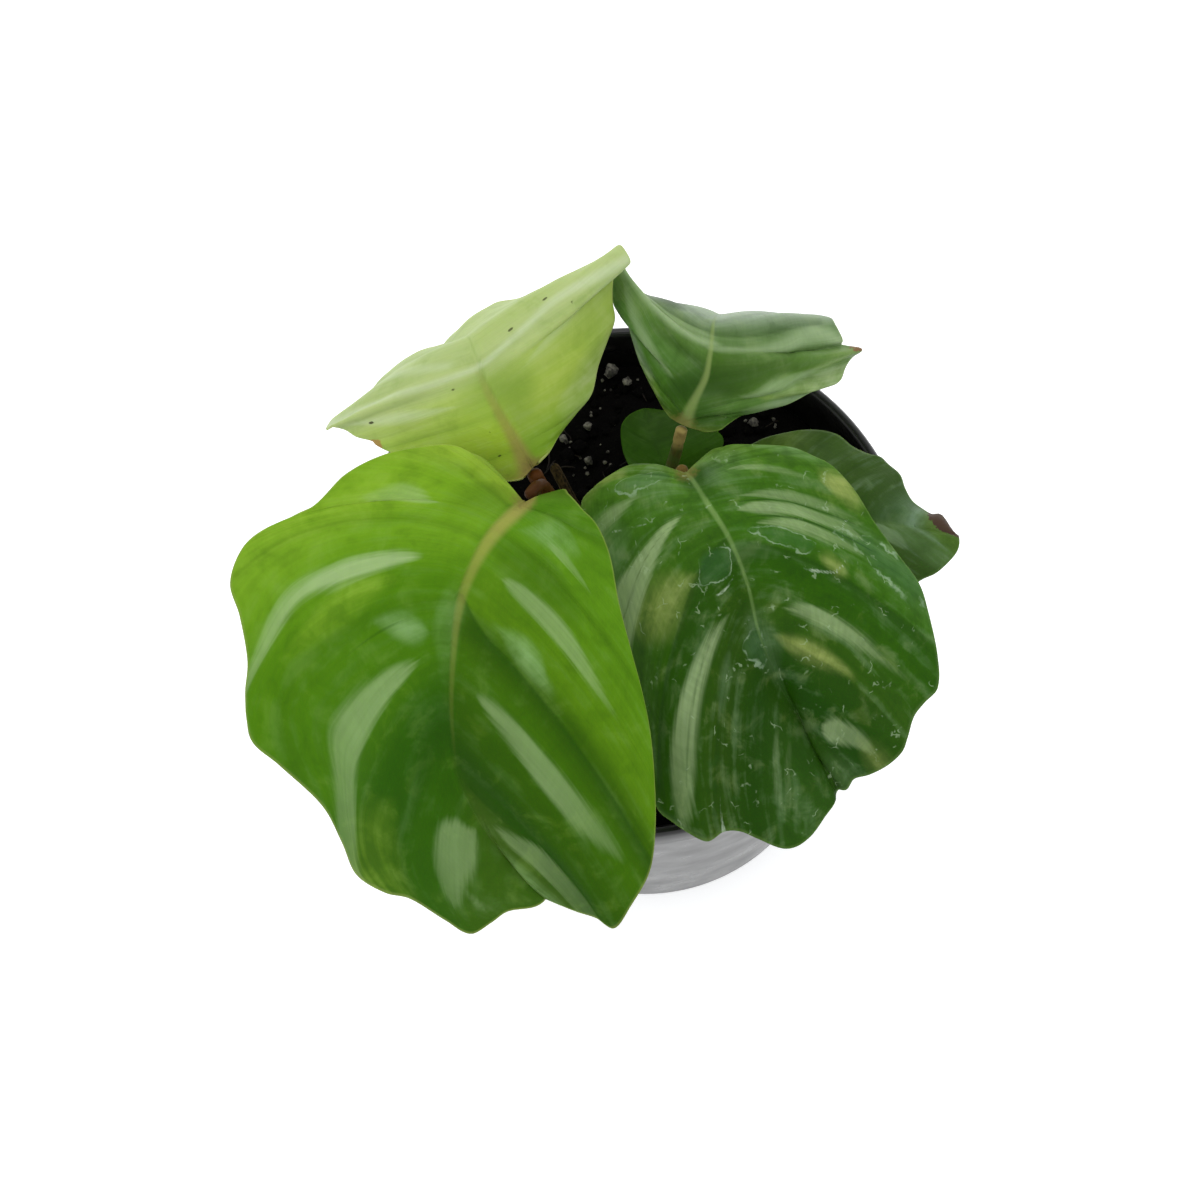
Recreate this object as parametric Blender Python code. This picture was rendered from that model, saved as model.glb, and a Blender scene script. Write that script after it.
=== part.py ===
"""A potted calathea: nursery pot, potting mix, crown, petioles, blades, dried sheath and perlite.

The plant is an assembly of the pieces that it comes apart into. Sizes and places are in
millimetres and are turned into Blender's metres where each mesh is made. The origin is the centre
of the pot's base on the surface it stands on, +Z is up, and the two largest blades lean to -Y.
"""
import math

import bmesh
import bpy
import numpy as np
from mathutils import Vector, noise

MM = 0.001

# ---- driving dimensions, mm ----
RIM_RADIUS = 60.0           # outside of the rolled rim
POT_HEIGHT = 95.0
BASE_RADIUS = 45.0          # the wall's line carried down to the floor
WALL = 1.5
RIM_DEPTH = 6.0             # height of the thicker band at the top
RIM_STEP = 1.2              # how far the band stands out from the wall
RIM_SOFT = 0.5              # rounding of the band's edges
FOOT_ROUND = 1.8            # rounding where the wall meets the floor
PAD_RADIUS = 15.0           # flat disc in the middle of the base
FOOT_INNER = 37.0           # the foot ring runs from here to the wall
CHANNEL_RISE = 3.0          # the base between the disc and the foot is raised, with drain holes
CHANNEL_LEAN = 2.0          # run of the channel's sloping sides
CHANNEL_SKEW = 1.7          # width of a sloping side, measured level
DRAIN_HOLES = 8
DRAIN_RADIUS = 3.0
POT_SEGMENTS = 48

GAP = 0.3                   # clearance between pieces that touch
SOIL_LEVEL = 85.0
SOIL_ROUGHNESS = 2.1        # most that a lump of the mix rises or dips
SOIL_LUMP = 14.0            # distance from one lump to the next
SOIL_RINGS = 7

CROWN_RADIUS = 9.5
CROWN_HEIGHT = 4.7
CROWN_TAPER = 0.06          # share that the foot is wider and the top narrower than the middle
CROWN_FLAT = 16.5           # the mix is firmed flat out to here
CROWN_BLEND = 8.0           # and is at its full roughness this much further out
STEM_RING = 6.3             # petioles leave the crown on this radius
STEM_LEVEL = SOIL_LEVEL + 2 * GAP + CROWN_HEIGHT

BLADE_THICKNESS = 0.8
FIRST_VEIN = 0.08           # where the vein ends that edges the blade beside the petiole
FAN_END = 0.2               # where the next vein ends; one wedge fills the margin between
SWEEP_AT = (0.1, 0.5, 0.85, 1)      # along the margin the veins' bow grows, stays full and fades
SWEEP_SHARE = (0, 1, 1, 0)

# ---- blades: base, tip, midrib and the two margins, mm ----
# Left and right are the blade's own, seen from its base with the glossy side up. A margin's
# point is its share s of the way along from the base, 0, to the tip, 1, then x, y and z. Veins
# leave the midrib at s ** vein_power of its length and end at share s of the margin; sweep bows
# them back towards the base, left and right, and dome lifts the blade between midrib and margin,
# both as a share of a vein.
BLADES = {
    "leaf_front_left": dict(
        base=(-17, -6, 138), tip=(-23, -72, 104),
        midrib=[(-24.5, -13, 140), (-30.5, -22, 138), (-34, -32, 133), (-36, -42, 126),
                (-36, -50, 119), (-32, -60, 112)],
        left=[(0.08, -9.5, -5, 139), (0.12, -8.5, -6, 138.5), (0.17, -6.5, -9, 138),
              (0.222, -4, -12, 136), (0.275, -2.5, -17, 133), (0.333, -2, -25.5, 129),
              (0.39, -1, -33, 125), (0.444, 0, -40, 121), (0.5, 0.5, -48, 117),
              (0.556, 0, -56, 112.5), (0.61, -1, -63, 109), (0.667, -3, -70, 106.5),
              (0.73, -7.5, -75.5, 103.5), (0.778, -11, -78.5, 101), (0.82, -14, -76.5, 102),
              (0.889, -17.5, -75, 103)],
        right=[(0.08, -23.5, 3, 140), (0.13, -26, 5, 140), (0.18, -29, 7, 140),
               (0.231, -33.5, 8, 139.5), (0.27, -42.5, 8, 138.5), (0.308, -50.5, 6, 136.5),
               (0.335, -56.5, 1.5, 135), (0.36, -62, 0.5, 133), (0.385, -67.5, -0.5, 131.5),
               (0.42, -72.5, -2.5, 129), (0.462, -76, -8, 125.5), (0.5, -75, -14, 122.5),
               (0.538, -74.5, -22, 119.5), (0.58, -76, -28, 116), (0.615, -76, -35.5, 112.5),
               (0.65, -71, -41, 111), (0.692, -63.5, -49.5, 109), (0.73, -60.5, -56.5, 106.5),
               (0.769, -58.5, -62.5, 104), (0.805, -53.5, -66.5, 103.5),
               (0.846, -48.5, -68.5, 103.5), (0.885, -42.5, -73, 102), (0.923, -38, -76, 101),
               (0.945, -34, -74.5, 101.5), (0.965, -30.5, -73, 102.5), (0.985, -25.5, -73, 103)],
        dome=0.06, sweep=(0.15, 0.28), vein_power=2.4, grid=(40, 10), colour="4f8a17"),
    "leaf_front_right": dict(
        base=(14, 0, 130), tip=(34, -59, 102),
        midrib=[(17, -8, 132), (20, -15, 131), (22, -22, 127), (23, -30, 122), (26, -38, 115),
                (30, -46, 109)],
        left=[(0.08, 19.5, 4, 130), (0.13, 22, 4.5, 130), (0.182, 24.5, 5, 129.5),
              (0.273, 35, 4.5, 126.5), (0.32, 39.5, 2.5, 125), (0.364, 43, 0, 124),
              (0.41, 46.5, -4.5, 121.5), (0.455, 49.5, -11, 119), (0.5, 53, -17.5, 117),
              (0.545, 56, -23, 115), (0.59, 57, -28, 112.5), (0.636, 57.5, -36, 109.5),
              (0.68, 56.5, -42, 107.5), (0.7, 53.5, -44.5, 107.5), (0.727, 51, -47, 107.5),
              (0.77, 49, -51, 107), (0.8, 47.5, -53.5, 106.5), (0.83, 44.5, -55.5, 106),
              (0.87, 41, -56.5, 105), (0.909, 38, -56.5, 103.5), (0.93, 36.5, -58, 102.5),
              (0.96, 35, -57.5, 101.5)],
        right=[(0.08, 9, 3, 129), (0.14, 6.5, 3.5, 128.5), (0.19, 4, 4.5, 128),
               (0.273, 0, 4, 126.5), (0.32, -4, 2.5, 124.5), (0.364, -7, -0.5, 122.5),
               (0.45, -6, -14, 115), (0.54, -3, -32.5, 107.5), (0.6, -1, -49, 102.5),
               (0.636, 0, -56, 100.5), (0.68, 3, -59.5, 100), (0.7, 5.5, -62, 100.5),
               (0.727, 8, -64, 101), (0.75, 9.5, -64, 101), (0.78, 12, -63, 102),
               (0.818, 15, -63.5, 102.5), (0.86, 18, -65, 101.5), (0.909, 22.5, -67, 99.5),
               (0.935, 25.5, -67, 99.5), (0.955, 28.5, -65.5, 100.5),
               (0.975, 31.5, -62.5, 101.5), (0.99, 33.5, -60.5, 102)],
        dome=0.06, sweep=(0.28, 0.4), vein_power=2.4, grid=(40, 10), colour="35601c"),
    "leaf_back_left": dict(
        base=(-15, 4, 133), tip=(-34, 47, 111.5),
        midrib=[(-17, 8, 138), (-20, 14, 143), (-22, 20, 145), (-23.5, 27.5, 144),
                (-25.5, 33, 136), (-30, 40, 124)],
        left=[(0.1, -18, 2, 132.5), (0.2, -24, 4.5, 130), (0.3, -33.5, 11, 126),
              (0.4, -43, 18, 122.5), (0.47, -46.5, 21, 121.5), (0.5, -47.5, 22.5, 121),
              (0.55, -51, 25, 119.5), (0.59, -53.5, 28, 118), (0.62, -56, 29, 118),
              (0.65, -58, 31, 114), (0.68, -56, 32.5, 115.5), (0.75, -50, 35, 116),
              (0.82, -45.5, 41, 115), (0.88, -43, 44, 113), (0.94, -38, 46.5, 112)],
        right=[(0.1, -13, 5, 134), (0.15, -11, 7.5, 133), (0.2, -9, 11.5, 132),
               (0.25, -5.5, 15.5, 132), (0.3, -2, 19.5, 132), (0.35, 0, 25, 133),
               (0.4, 2.5, 30, 134), (0.44, 4.5, 34, 135), (0.47, 4.5, 37.5, 136),
               (0.5, 5, 41, 137), (0.535, 6, 44, 138), (0.57, 9, 44, 139),
               (0.6, 8.5, 46.5, 139.5), (0.63, 7.5, 48.5, 139), (0.66, 5.5, 48, 138),
               (0.7, 2.5, 47.5, 136), (0.74, -1, 46, 133.5), (0.77, -4.5, 47.5, 131.5),
               (0.8, -8, 48, 129), (0.85, -14.5, 49.5, 124.5), (0.88, -19.5, 51, 122),
               (0.92, -24, 50.5, 118.5), (0.96, -29, 49.5, 115)],
        dome=0.08, sweep=(0.05, 0.05), vein_power=1.6, grid=(40, 10), colour="93ab4f"),
    "leaf_back_right": dict(
        base=(15, 12, 128), tip=(30.5, 45, 107.5),
        midrib=[(17, 14, 132), (20, 17, 136), (21.5, 21, 139.5), (23, 27, 139.5),
                (26.5, 36.5, 127)],
        left=[(0.1, 12.5, 14.5, 128), (0.2, 10.5, 20.5, 128), (0.3, 8.5, 27, 129.5),
              (0.4, 7.5, 32.5, 131.5), (0.45, 7, 35.5, 132), (0.5, 5, 39, 132.5),
              (0.55, 5, 42.5, 133), (0.6, 6, 46, 133.5), (0.64, 7.5, 48, 133.5),
              (0.68, 8, 47, 131), (0.76, 10.5, 45, 127), (0.8, 12.5, 45.5, 124),
              (0.889, 20.5, 44.5, 117)],
        right=[(0.1, 19, 10, 127.5), (0.15, 22, 10.5, 126.5), (0.2, 24.5, 12.5, 125.5),
               (0.25, 28, 15, 124), (0.35, 37, 17.5, 121.5), (0.45, 43.5, 21.5, 119),
               (0.52, 48.5, 23.5, 117.5), (0.56, 50.5, 27.5, 116), (0.6, 52.5, 30.5, 115),
               (0.655, 54.5, 31.5, 116), (0.68, 50.5, 32, 117.5), (0.71, 50.5, 32.5, 119),
               (0.74, 49.5, 35.5, 120), (0.77, 49, 37.5, 119.5), (0.8, 47.5, 39.5, 117.5),
               (0.875, 40, 42.5, 111.5)],
        dome=0.08, sweep=(0.1, 0.1), vein_power=1.6, grid=(36, 10), colour="3c6326"),
    "leaf_side_right": dict(
        base=(17, -1, 112), tip=(69, -6, 99),
        midrib=[(29, -2, 113), (38, -2, 111), (47, -3, 108), (58, -4, 103)],
        left=[(0.125, 22, 11, 110), (0.25, 31, 17, 109), (0.35, 38.5, 19, 107.5),
              (0.4, 41.5, 19.5, 106.5), (0.45, 45, 19, 106), (0.5, 48, 18, 105),
              (0.55, 50.5, 15.5, 104), (0.6, 53.5, 13.5, 103.5), (0.65, 56, 13, 102.5),
              (0.7, 57.5, 11.5, 101.5), (0.75, 59.5, 9, 101), (0.8, 60, 6, 100.5),
              (0.85, 61, 3, 100), (0.9, 63, 0.5, 100), (0.925, 64.5, -0.5, 99.5),
              (0.955, 66.5, -1, 99.5), (0.98, 68, -4.5, 99)],
        right=[(0.143, 20, -9, 108), (0.286, 28, -18, 103), (0.429, 38, -24, 101),
               (0.571, 51, -21, 100), (0.714, 59, -15, 99), (0.8, 63, -13.5, 99),
               (0.9, 67, -10.5, 99), (0.95, 68.5, -8.5, 99)],
        dome=0.08, sweep=(0.2, 0.2), vein_power=1.8, grid=(28, 8), colour="345323"),
    "leaf_low": dict(
        base=(12, 13, 93), tip=(9, 39, 92),
        midrib=[(11, 16, 94), (11, 21, 95), (10, 27, 95), (9, 33, 94)],
        left=[(0.2, 8, 17, 93), (0.4, 4, 25, 92), (0.6, 3, 31, 91), (0.8, 4, 37, 91)],
        right=[(0.2, 16, 17, 93), (0.4, 22, 23, 92), (0.6, 25, 29, 92), (0.8, 19, 35, 92)],
        dome=0.03, sweep=(0.1, 0.1), vein_power=1.5, grid=(14, 8), colour="24420b"),
}

# ---- petioles and the dried sheath: where they stand on the crown, and the way they take, mm ----
# azimuth is the place round the crown; radii are at the crown, halfway and at the knee.
STEMS = {
    "stem_front_left": dict(azimuth=205, radii=(1.9, 1.4, 1.4), colour="5b4a1c",
                            way=[(-8, -2, 105), (-11, -0.5, 121), (-13, 0, 131),
                                 (-14.2, -1.4, 135.2), (-16.4, -4.8, 137)]),
    "stem_back_left": dict(azimuth=165, radii=(1.9, 1.5, 1.6), colour="4a3611",
                           way=[(-9, 2.5, 103), (-12.6, 3.4, 119), (-13.9, 3.3, 126),
                                (-15, 3.5, 132.2)]),
    "old_sheath": dict(azimuth=125, radii=(1.5, 1.6, 1.1), colour="1e190b",
                       way=[(-6, 6.5, 98), (-8.6, 9, 107), (-10.6, 11.2, 115), (-11.6, 12.4, 119)]),
    "stem_low": dict(azimuth=78, radii=(1.0, 0.8, 0.8), colour="2c3d12",
                     way=[(2.2, 7.6, 93.4), (5, 9.6, 94.4), (8.4, 11.3, 94.1),
                          (11.2, 12.5, 93.2)]),
    "stem_back_right": dict(azimuth=35, radii=(1.7, 1.3, 1.25), colour="77763a",
                            way=[(8, 6, 104), (11, 8, 115), (13, 9.8, 121), (14, 10.9, 124.6),
                                 (14.8, 11.7, 127.5)]),
    "stem_front_right": dict(azimuth=-5, radii=(1.7, 1.3, 1.3), colour="3c4a1c",
                             way=[(9, 1, 105), (11.6, 1.6, 117), (12.9, 2.6, 124),
                                  (13.5, 1.35, 128.65)]),
    "stem_side_right": dict(azimuth=-45, radii=(1.6, 1.2, 1.1), colour="33451a",
                            way=[(8, -3.6, 99), (11.4, -2, 106.4), (16.4, -1, 111.4)]),
}
STEM_POINTS = 22
STEM_SIDES = 2              # bevel resolution, which gives eight sides

# ---- perlite: the grains that are large enough to lift off by hand, x, y and size in mm ----
PERLITE = [(3, 53, 3.2), (6, 50, 2.4), (-4, 40, 2.2), (-5, 31, 2.0), (33, 35, 2.4), (-10, 38, 1.8)]
PERLITE_UNEVEN = 0.35
PERLITE_FLATTENED = 0.75


def clear_scene():
    for item in list(bpy.data.objects):
        bpy.data.objects.remove(item, do_unlink=True)


def linear(hex_colour):
    """An sRGB hex value as linear red, green, blue and alpha."""
    parts = [int(hex_colour[i:i + 2], 16) / 255 for i in (0, 2, 4)]
    return [c / 12.92 if c <= 0.04045 else ((c + 0.055) / 1.055) ** 2.4 for c in parts] + [1.0]


def material(name, hex_colour, roughness):
    made = bpy.data.materials.new(name)
    made.use_nodes = True
    shader = made.node_tree.nodes["Principled BSDF"]
    shader.inputs["Base Color"].default_value = linear(hex_colour)
    shader.inputs["Roughness"].default_value = roughness
    shader.inputs["Metallic"].default_value = 0.0
    return made


def add_object(name, data, hex_colour, roughness):
    item = bpy.data.objects.new(name, data)
    bpy.context.scene.collection.objects.link(item)
    data.materials.append(material(name, hex_colour, roughness))
    return item


def object_from_bmesh(name, bm, hex_colour, roughness, smooth=True):
    mesh = bpy.data.meshes.new(name)
    bm.to_mesh(mesh)
    bm.free()
    if smooth:
        mesh.shade_smooth()
    return add_object(name, mesh, hex_colour, roughness)


def spline(points, at, places=None):
    """A smooth line through the points, read at values from 0, the first, to 1, the last. The
    points lie at places along it, or evenly."""
    pts = np.asarray(points, float)
    knots = np.linspace(0, 1, len(pts)) if places is None else np.asarray(places, float)
    x = np.clip(np.atleast_1d(np.asarray(at, float)), 0, 1)
    step = np.diff(knots)[:, None]
    rise = np.diff(pts, axis=0) / step
    slope = np.empty_like(pts)
    slope[1:-1] = (pts[2:] - pts[:-2]) / (step[1:] + step[:-1])
    slope[0] = 2 * rise[0] - slope[1]
    slope[-1] = 2 * rise[-1] - slope[-2]
    i = np.clip(np.searchsorted(knots, x, side="right") - 1, 0, len(step) - 1)
    f = ((x - knots[i]) / step[i, 0])[:, None]
    return (pts[i] * (1 + 2 * f) * (1 - f) ** 2 + pts[i + 1] * (3 - 2 * f) * f ** 2
            + step[i] * f * (1 - f) * (slope[i] * (1 - f) - slope[i + 1] * f))


def unit(rows):
    return rows / np.maximum(np.linalg.norm(rows, axis=-1, keepdims=True), 1e-9)


# ---- pot ----

def wall_radius(z):
    """Outside of the wall, a straight line from the base to just under the rim band."""
    top = RIM_RADIUS - RIM_STEP
    return BASE_RADIUS + (top - BASE_RADIUS) * z / (POT_HEIGHT - RIM_DEPTH)


def pot_profile():
    """(radius, height) from the middle of the floor, up the inside, and down the outside."""
    band = POT_HEIGHT - RIM_DEPTH
    inner_rim = RIM_RADIUS - RIM_STEP - WALL
    rise = CHANNEL_RISE
    lean = CHANNEL_LEAN
    skew = CHANNEL_SKEW
    inside = [(0, WALL), (PAD_RADIUS - skew, WALL), (PAD_RADIUS + lean - skew, rise + WALL),
              (FOOT_INNER - lean + skew, rise + WALL), (FOOT_INNER + skew, WALL),
              (wall_radius(WALL) - WALL, WALL), (inner_rim, band),
              (inner_rim + RIM_SOFT, POT_HEIGHT - RIM_SOFT)]
    rim = [(inner_rim + 2 * RIM_SOFT, POT_HEIGHT), (RIM_RADIUS - RIM_SOFT, POT_HEIGHT),
           (RIM_RADIUS, POT_HEIGHT - RIM_SOFT), (RIM_RADIUS, band + RIM_SOFT),
           (RIM_RADIUS - RIM_STEP, band)]
    outside = [(wall_radius(FOOT_ROUND), FOOT_ROUND),
               (BASE_RADIUS - 0.3 * FOOT_ROUND, 0.3 * FOOT_ROUND), (BASE_RADIUS - FOOT_ROUND, 0),
               (FOOT_INNER, 0), (FOOT_INNER - lean, rise), (PAD_RADIUS + lean, rise),
               (PAD_RADIUS, 0), (0, 0)]
    return inside + rim + outside


def drain_cutter():
    """One object with a peg for each drain hole, cut away from the pot and left out of the part."""
    bm = bmesh.new()
    radius = (PAD_RADIUS + FOOT_INNER) / 2
    for k in range(DRAIN_HOLES):
        angle = math.tau * (k + 0.5) / DRAIN_HOLES
        ring = bmesh.ops.create_cone(bm, cap_ends=True, segments=12, radius1=DRAIN_RADIUS * MM,
                                     radius2=DRAIN_RADIUS * MM, depth=12 * MM)
        centre = Vector((radius * math.cos(angle), radius * math.sin(angle), CHANNEL_RISE))
        bmesh.ops.translate(bm, verts=ring["verts"], vec=centre * MM)
    cutter = object_from_bmesh("drain_cutter", bm, "808080", 0.5, smooth=False)
    cutter.hide_render = True
    cutter.display_type = "WIRE"
    return cutter


def make_pot():
    bm = bmesh.new()
    points = [bm.verts.new((r * MM, 0, z * MM)) for r, z in pot_profile()]
    for low, high in zip(points, points[1:]):
        bm.edges.new((low, high))
    pot = object_from_bmesh("pot", bm, "141414", 0.35)
    screw = pot.modifiers.new("turn", "SCREW")
    screw.steps = POT_SEGMENTS
    screw.render_steps = POT_SEGMENTS
    screw.use_merge_vertices = True
    screw.merge_threshold = 0.00001
    screw.use_smooth_shade = True
    cut = pot.modifiers.new("drain_holes", "BOOLEAN")
    cut.operation = "DIFFERENCE"
    cut.solver = "EXACT"
    cut.object = drain_cutter()


# ---- potting mix ----

def soil_height(x, y):
    """The lumpy top of the mix, firmed flat round the crown."""
    spread = min(max((math.hypot(x, y) - CROWN_FLAT) / CROWN_BLEND, 0), 1)
    lump = noise.noise(Vector((x / SOIL_LUMP, y / SOIL_LUMP, 3.7)))
    return SOIL_LEVEL + SOIL_ROUGHNESS * lump * spread


def make_soil():
    """A plug that fills the pot from the channel of its floor to the lumpy top."""
    bottom = CHANNEL_RISE + WALL + GAP
    top_radius = wall_radius(SOIL_LEVEL) - WALL - GAP
    bottom_radius = wall_radius(bottom) - WALL - GAP
    bm = bmesh.new()
    angles = [math.tau * k / POT_SEGMENTS for k in range(POT_SEGMENTS)]

    def ring(radius, height):
        corners = [(radius * math.cos(a), radius * math.sin(a)) for a in angles]
        return [bm.verts.new((x * MM, y * MM, height(x, y) * MM)) for x, y in corners]

    rings = [ring(bottom_radius, lambda x, y: bottom)]
    rings += [ring(top_radius, lambda x, y: SOIL_LEVEL)]
    for k in range(SOIL_RINGS - 1, 0, -1):
        rings.append(ring(top_radius * k / SOIL_RINGS, soil_height))
    for outer, inner in zip(rings, rings[1:]):
        for k in range(POT_SEGMENTS):
            n = (k + 1) % POT_SEGMENTS
            bm.faces.new((outer[k], outer[n], inner[n], inner[k]))
    centre = bm.verts.new((0, 0, SOIL_LEVEL * MM))
    for k in range(POT_SEGMENTS):
        bm.faces.new((rings[-1][k], rings[-1][(k + 1) % POT_SEGMENTS], centre))
    bm.faces.new(list(reversed(rings[0])))
    object_from_bmesh("soil", bm, "120d08", 0.95)


def make_perlite():
    """Irregular grains that lie on the mix, each lifted clear of the lump under it."""
    for number, (x, y, size) in enumerate(PERLITE, 1):
        bm = bmesh.new()
        bmesh.ops.create_icosphere(bm, subdivisions=1, radius=size / 2 * MM)
        for v in bm.verts:
            v.co *= 1 + PERLITE_UNEVEN * noise.noise(v.co / MM + Vector((number * 7.1, 0, 0)))
            v.co.z *= PERLITE_FLATTENED
        ground = max(soil_height(x + dx, y + dy) for dx in (-1, 0, 1) for dy in (-1, 0, 1))
        lowest = min(v.co.z for v in bm.verts)
        lift = Vector((x * MM, y * MM, (ground + GAP) * MM - lowest))
        bmesh.ops.translate(bm, verts=bm.verts, vec=lift)
        object_from_bmesh(f"perlite_{number}", bm, "c9c6bb", 0.9, smooth=False)


# ---- crown and petioles ----

def make_crown():
    """The short stock that the sheaths rise from, a low cone with a flat top."""
    bm = bmesh.new()
    bmesh.ops.create_cone(bm, cap_ends=True, segments=24, depth=CROWN_HEIGHT * MM,
                          radius1=CROWN_RADIUS * (1 + CROWN_TAPER) * MM,
                          radius2=CROWN_RADIUS * (1 - CROWN_TAPER) * MM)
    middle = SOIL_LEVEL + GAP + CROWN_HEIGHT / 2
    bmesh.ops.translate(bm, verts=bm.verts, vec=(0, 0, middle * MM))
    object_from_bmesh("crown", bm, "2a2011", 0.8)


def stem_route(stem):
    """From the crown, straight up for a little, and along the way to the blade."""
    angle = math.radians(stem["azimuth"])
    foot = (STEM_RING * math.cos(angle), STEM_RING * math.sin(angle), STEM_LEVEL)
    start = (foot[0], foot[1], STEM_LEVEL + 1)
    line = spline([start, *stem["way"]], np.linspace(0, 1, STEM_POINTS - 1))
    return np.vstack([foot, line])


def make_stem(name, stem):
    route = stem_route(stem)
    radii = spline([(r, 0, 0) for r in stem["radii"]], np.linspace(0, 1, len(route)))[:, 0]
    curve = bpy.data.curves.new(name, "CURVE")
    curve.dimensions = "3D"
    curve.bevel_depth = MM
    curve.bevel_resolution = STEM_SIDES
    curve.use_fill_caps = True
    line = curve.splines.new("POLY")
    line.points.add(len(route) - 1)
    for point, place, radius in zip(line.points, route, radii):
        point.co = (*(place * MM), 1)
        point.radius = radius
    add_object(name, curve, stem["colour"], 0.5)


# ---- blades ----

def blade_surface(blade, s_values, t_values):
    """Points of the blade's middle surface: s runs base to tip, t runs left margin to right."""
    along = [blade["base"], *blade["midrib"], blade["tip"]]
    power = blade["vein_power"]
    root = (s_values ** power - FIRST_VEIN ** power) / (1 - FIRST_VEIN ** power)
    rib = spline(along, root)
    run = unit(spline(along, root + 0.01) - spline(along, root - 0.01))
    points = np.zeros((len(s_values), len(t_values), 3))
    for side, margin, sweep in ((-1, blade["left"], blade["sweep"][0]),
                                (1, blade["right"], blade["sweep"][1])):
        shares, *sides = zip((0, *blade["base"]), *margin, (1, *blade["tip"]))
        edge = spline(np.column_stack(sides), s_values, shares)
        vein = edge - rib
        length = np.linalg.norm(vein, axis=1, keepdims=True)
        up = unit(np.cross(vein, run) * side)
        bend = sweep * np.interp(s_values, SWEEP_AT, SWEEP_SHARE)[:, None]
        bow = rib + vein / 2 - bend * length * run + blade["dome"] * length * up
        for j, t in enumerate(t_values):
            if t * side >= 0:
                w = abs(t)
                points[:, j] = (1 - w) ** 2 * rib + 2 * w * (1 - w) * bow + w * w * edge
    return points


def make_blade(name, blade):
    rows, columns = blade["grid"]
    grid = blade_surface(blade, np.append(FIRST_VEIN, np.linspace(FAN_END, 1, rows)),
                         np.linspace(-1, 1, columns + 1))
    bm = bmesh.new()
    verts = [[bm.verts.new(p * MM) for p in row] for row in grid]
    for i in range(rows):
        for j in range(columns):
            bm.faces.new((verts[i][j], verts[i][j + 1], verts[i + 1][j + 1], verts[i + 1][j]))
    bmesh.ops.remove_doubles(bm, verts=bm.verts, dist=0.01 * MM)
    bmesh.ops.triangulate(bm, faces=bm.faces)
    leaf = object_from_bmesh(name, bm, blade["colour"], 0.4)
    skin = leaf.modifiers.new("thickness", "SOLIDIFY")
    skin.thickness = BLADE_THICKNESS * MM
    skin.offset = 0


def main():
    clear_scene()
    make_pot()
    make_soil()
    make_perlite()
    make_crown()
    for name, stem in STEMS.items():
        make_stem(name, stem)
    for name, blade in BLADES.items():
        make_blade(name, blade)


main()
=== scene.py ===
import math
import random

import bpy
import numpy as np
from mathutils import Matrix, Vector, noise


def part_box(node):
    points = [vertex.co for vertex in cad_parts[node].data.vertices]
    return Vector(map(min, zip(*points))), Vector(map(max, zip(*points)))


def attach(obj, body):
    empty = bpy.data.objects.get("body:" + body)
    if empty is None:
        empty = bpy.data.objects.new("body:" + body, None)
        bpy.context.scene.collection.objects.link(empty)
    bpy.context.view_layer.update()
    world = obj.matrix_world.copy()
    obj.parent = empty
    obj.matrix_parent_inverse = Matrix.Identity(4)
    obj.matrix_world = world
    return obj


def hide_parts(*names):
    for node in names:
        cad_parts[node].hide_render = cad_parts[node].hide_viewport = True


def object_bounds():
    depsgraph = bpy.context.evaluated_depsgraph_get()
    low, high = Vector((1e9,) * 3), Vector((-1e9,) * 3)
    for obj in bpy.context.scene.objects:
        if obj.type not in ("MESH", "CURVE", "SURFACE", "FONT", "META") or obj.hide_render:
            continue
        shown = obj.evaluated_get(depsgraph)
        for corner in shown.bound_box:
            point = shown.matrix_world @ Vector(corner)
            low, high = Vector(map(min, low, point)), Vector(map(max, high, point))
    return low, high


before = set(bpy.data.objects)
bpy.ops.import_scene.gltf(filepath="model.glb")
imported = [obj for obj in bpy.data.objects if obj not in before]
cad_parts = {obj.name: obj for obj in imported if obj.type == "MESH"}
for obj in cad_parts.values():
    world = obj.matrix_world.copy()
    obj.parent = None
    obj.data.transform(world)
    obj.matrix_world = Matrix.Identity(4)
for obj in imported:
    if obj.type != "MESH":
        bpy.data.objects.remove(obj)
cad_low, cad_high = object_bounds()
bpy.ops.object.select_all(action="DESELECT")

MM = 0.001
dice = random.Random(11)

# ---- blades: shared values ----
BLADE_THICKNESS = 0.45      # mm, as grown: the solids' blades are nearly twice as thick
FIRST_VEIN = 0.08           # share of the margin at which the first vein ends, beside the petiole
SWEEP_AT = (0.1, 0.5, 0.85, 1)      # along the margin the veins' bow grows, stays full and fades
SWEEP_SHARE = (0, 1, 1, 0)
MARK_STEP = 0.01            # share of the margin over which a silver stripe's edge fades
FOLD_LIP = 0.006            # and over which the dark side of a fold begins
EDGED_MARKS = ("silver", "line", "rime", "speck", "nick")
# of the soft marks, glow is painted light, bloom a painted highlight, shade painted shade and sheen in
# part a painted highlight; film is dried water
SOFT_MARKS = ("glow", "bloom", "shade", "film", "sheen")

# ---- crown, mix and pot: shared values, mm ----
STEM_RING = 6.3             # radius on which the petioles stand round the crown
CROWN_CLEAR = 13            # radius inside which nothing loose lies
MIX_LEVEL = 85.0
CRUMBS, STRANDS, FINES = 420, 90, 70    # how many lie loose on the mix
PERLITE_GRAINS = 6          # those large enough to be solids
POT_STEPS = 144             # faces round the pot
POT_TAPER = 0.75            # the foot's share of the rim's radius
POT_BAND = 6                # height of the thicker band under the rim
POT_LEDGE = 1.2             # how far that band stands out over the wall
WALL = 1.5
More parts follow.
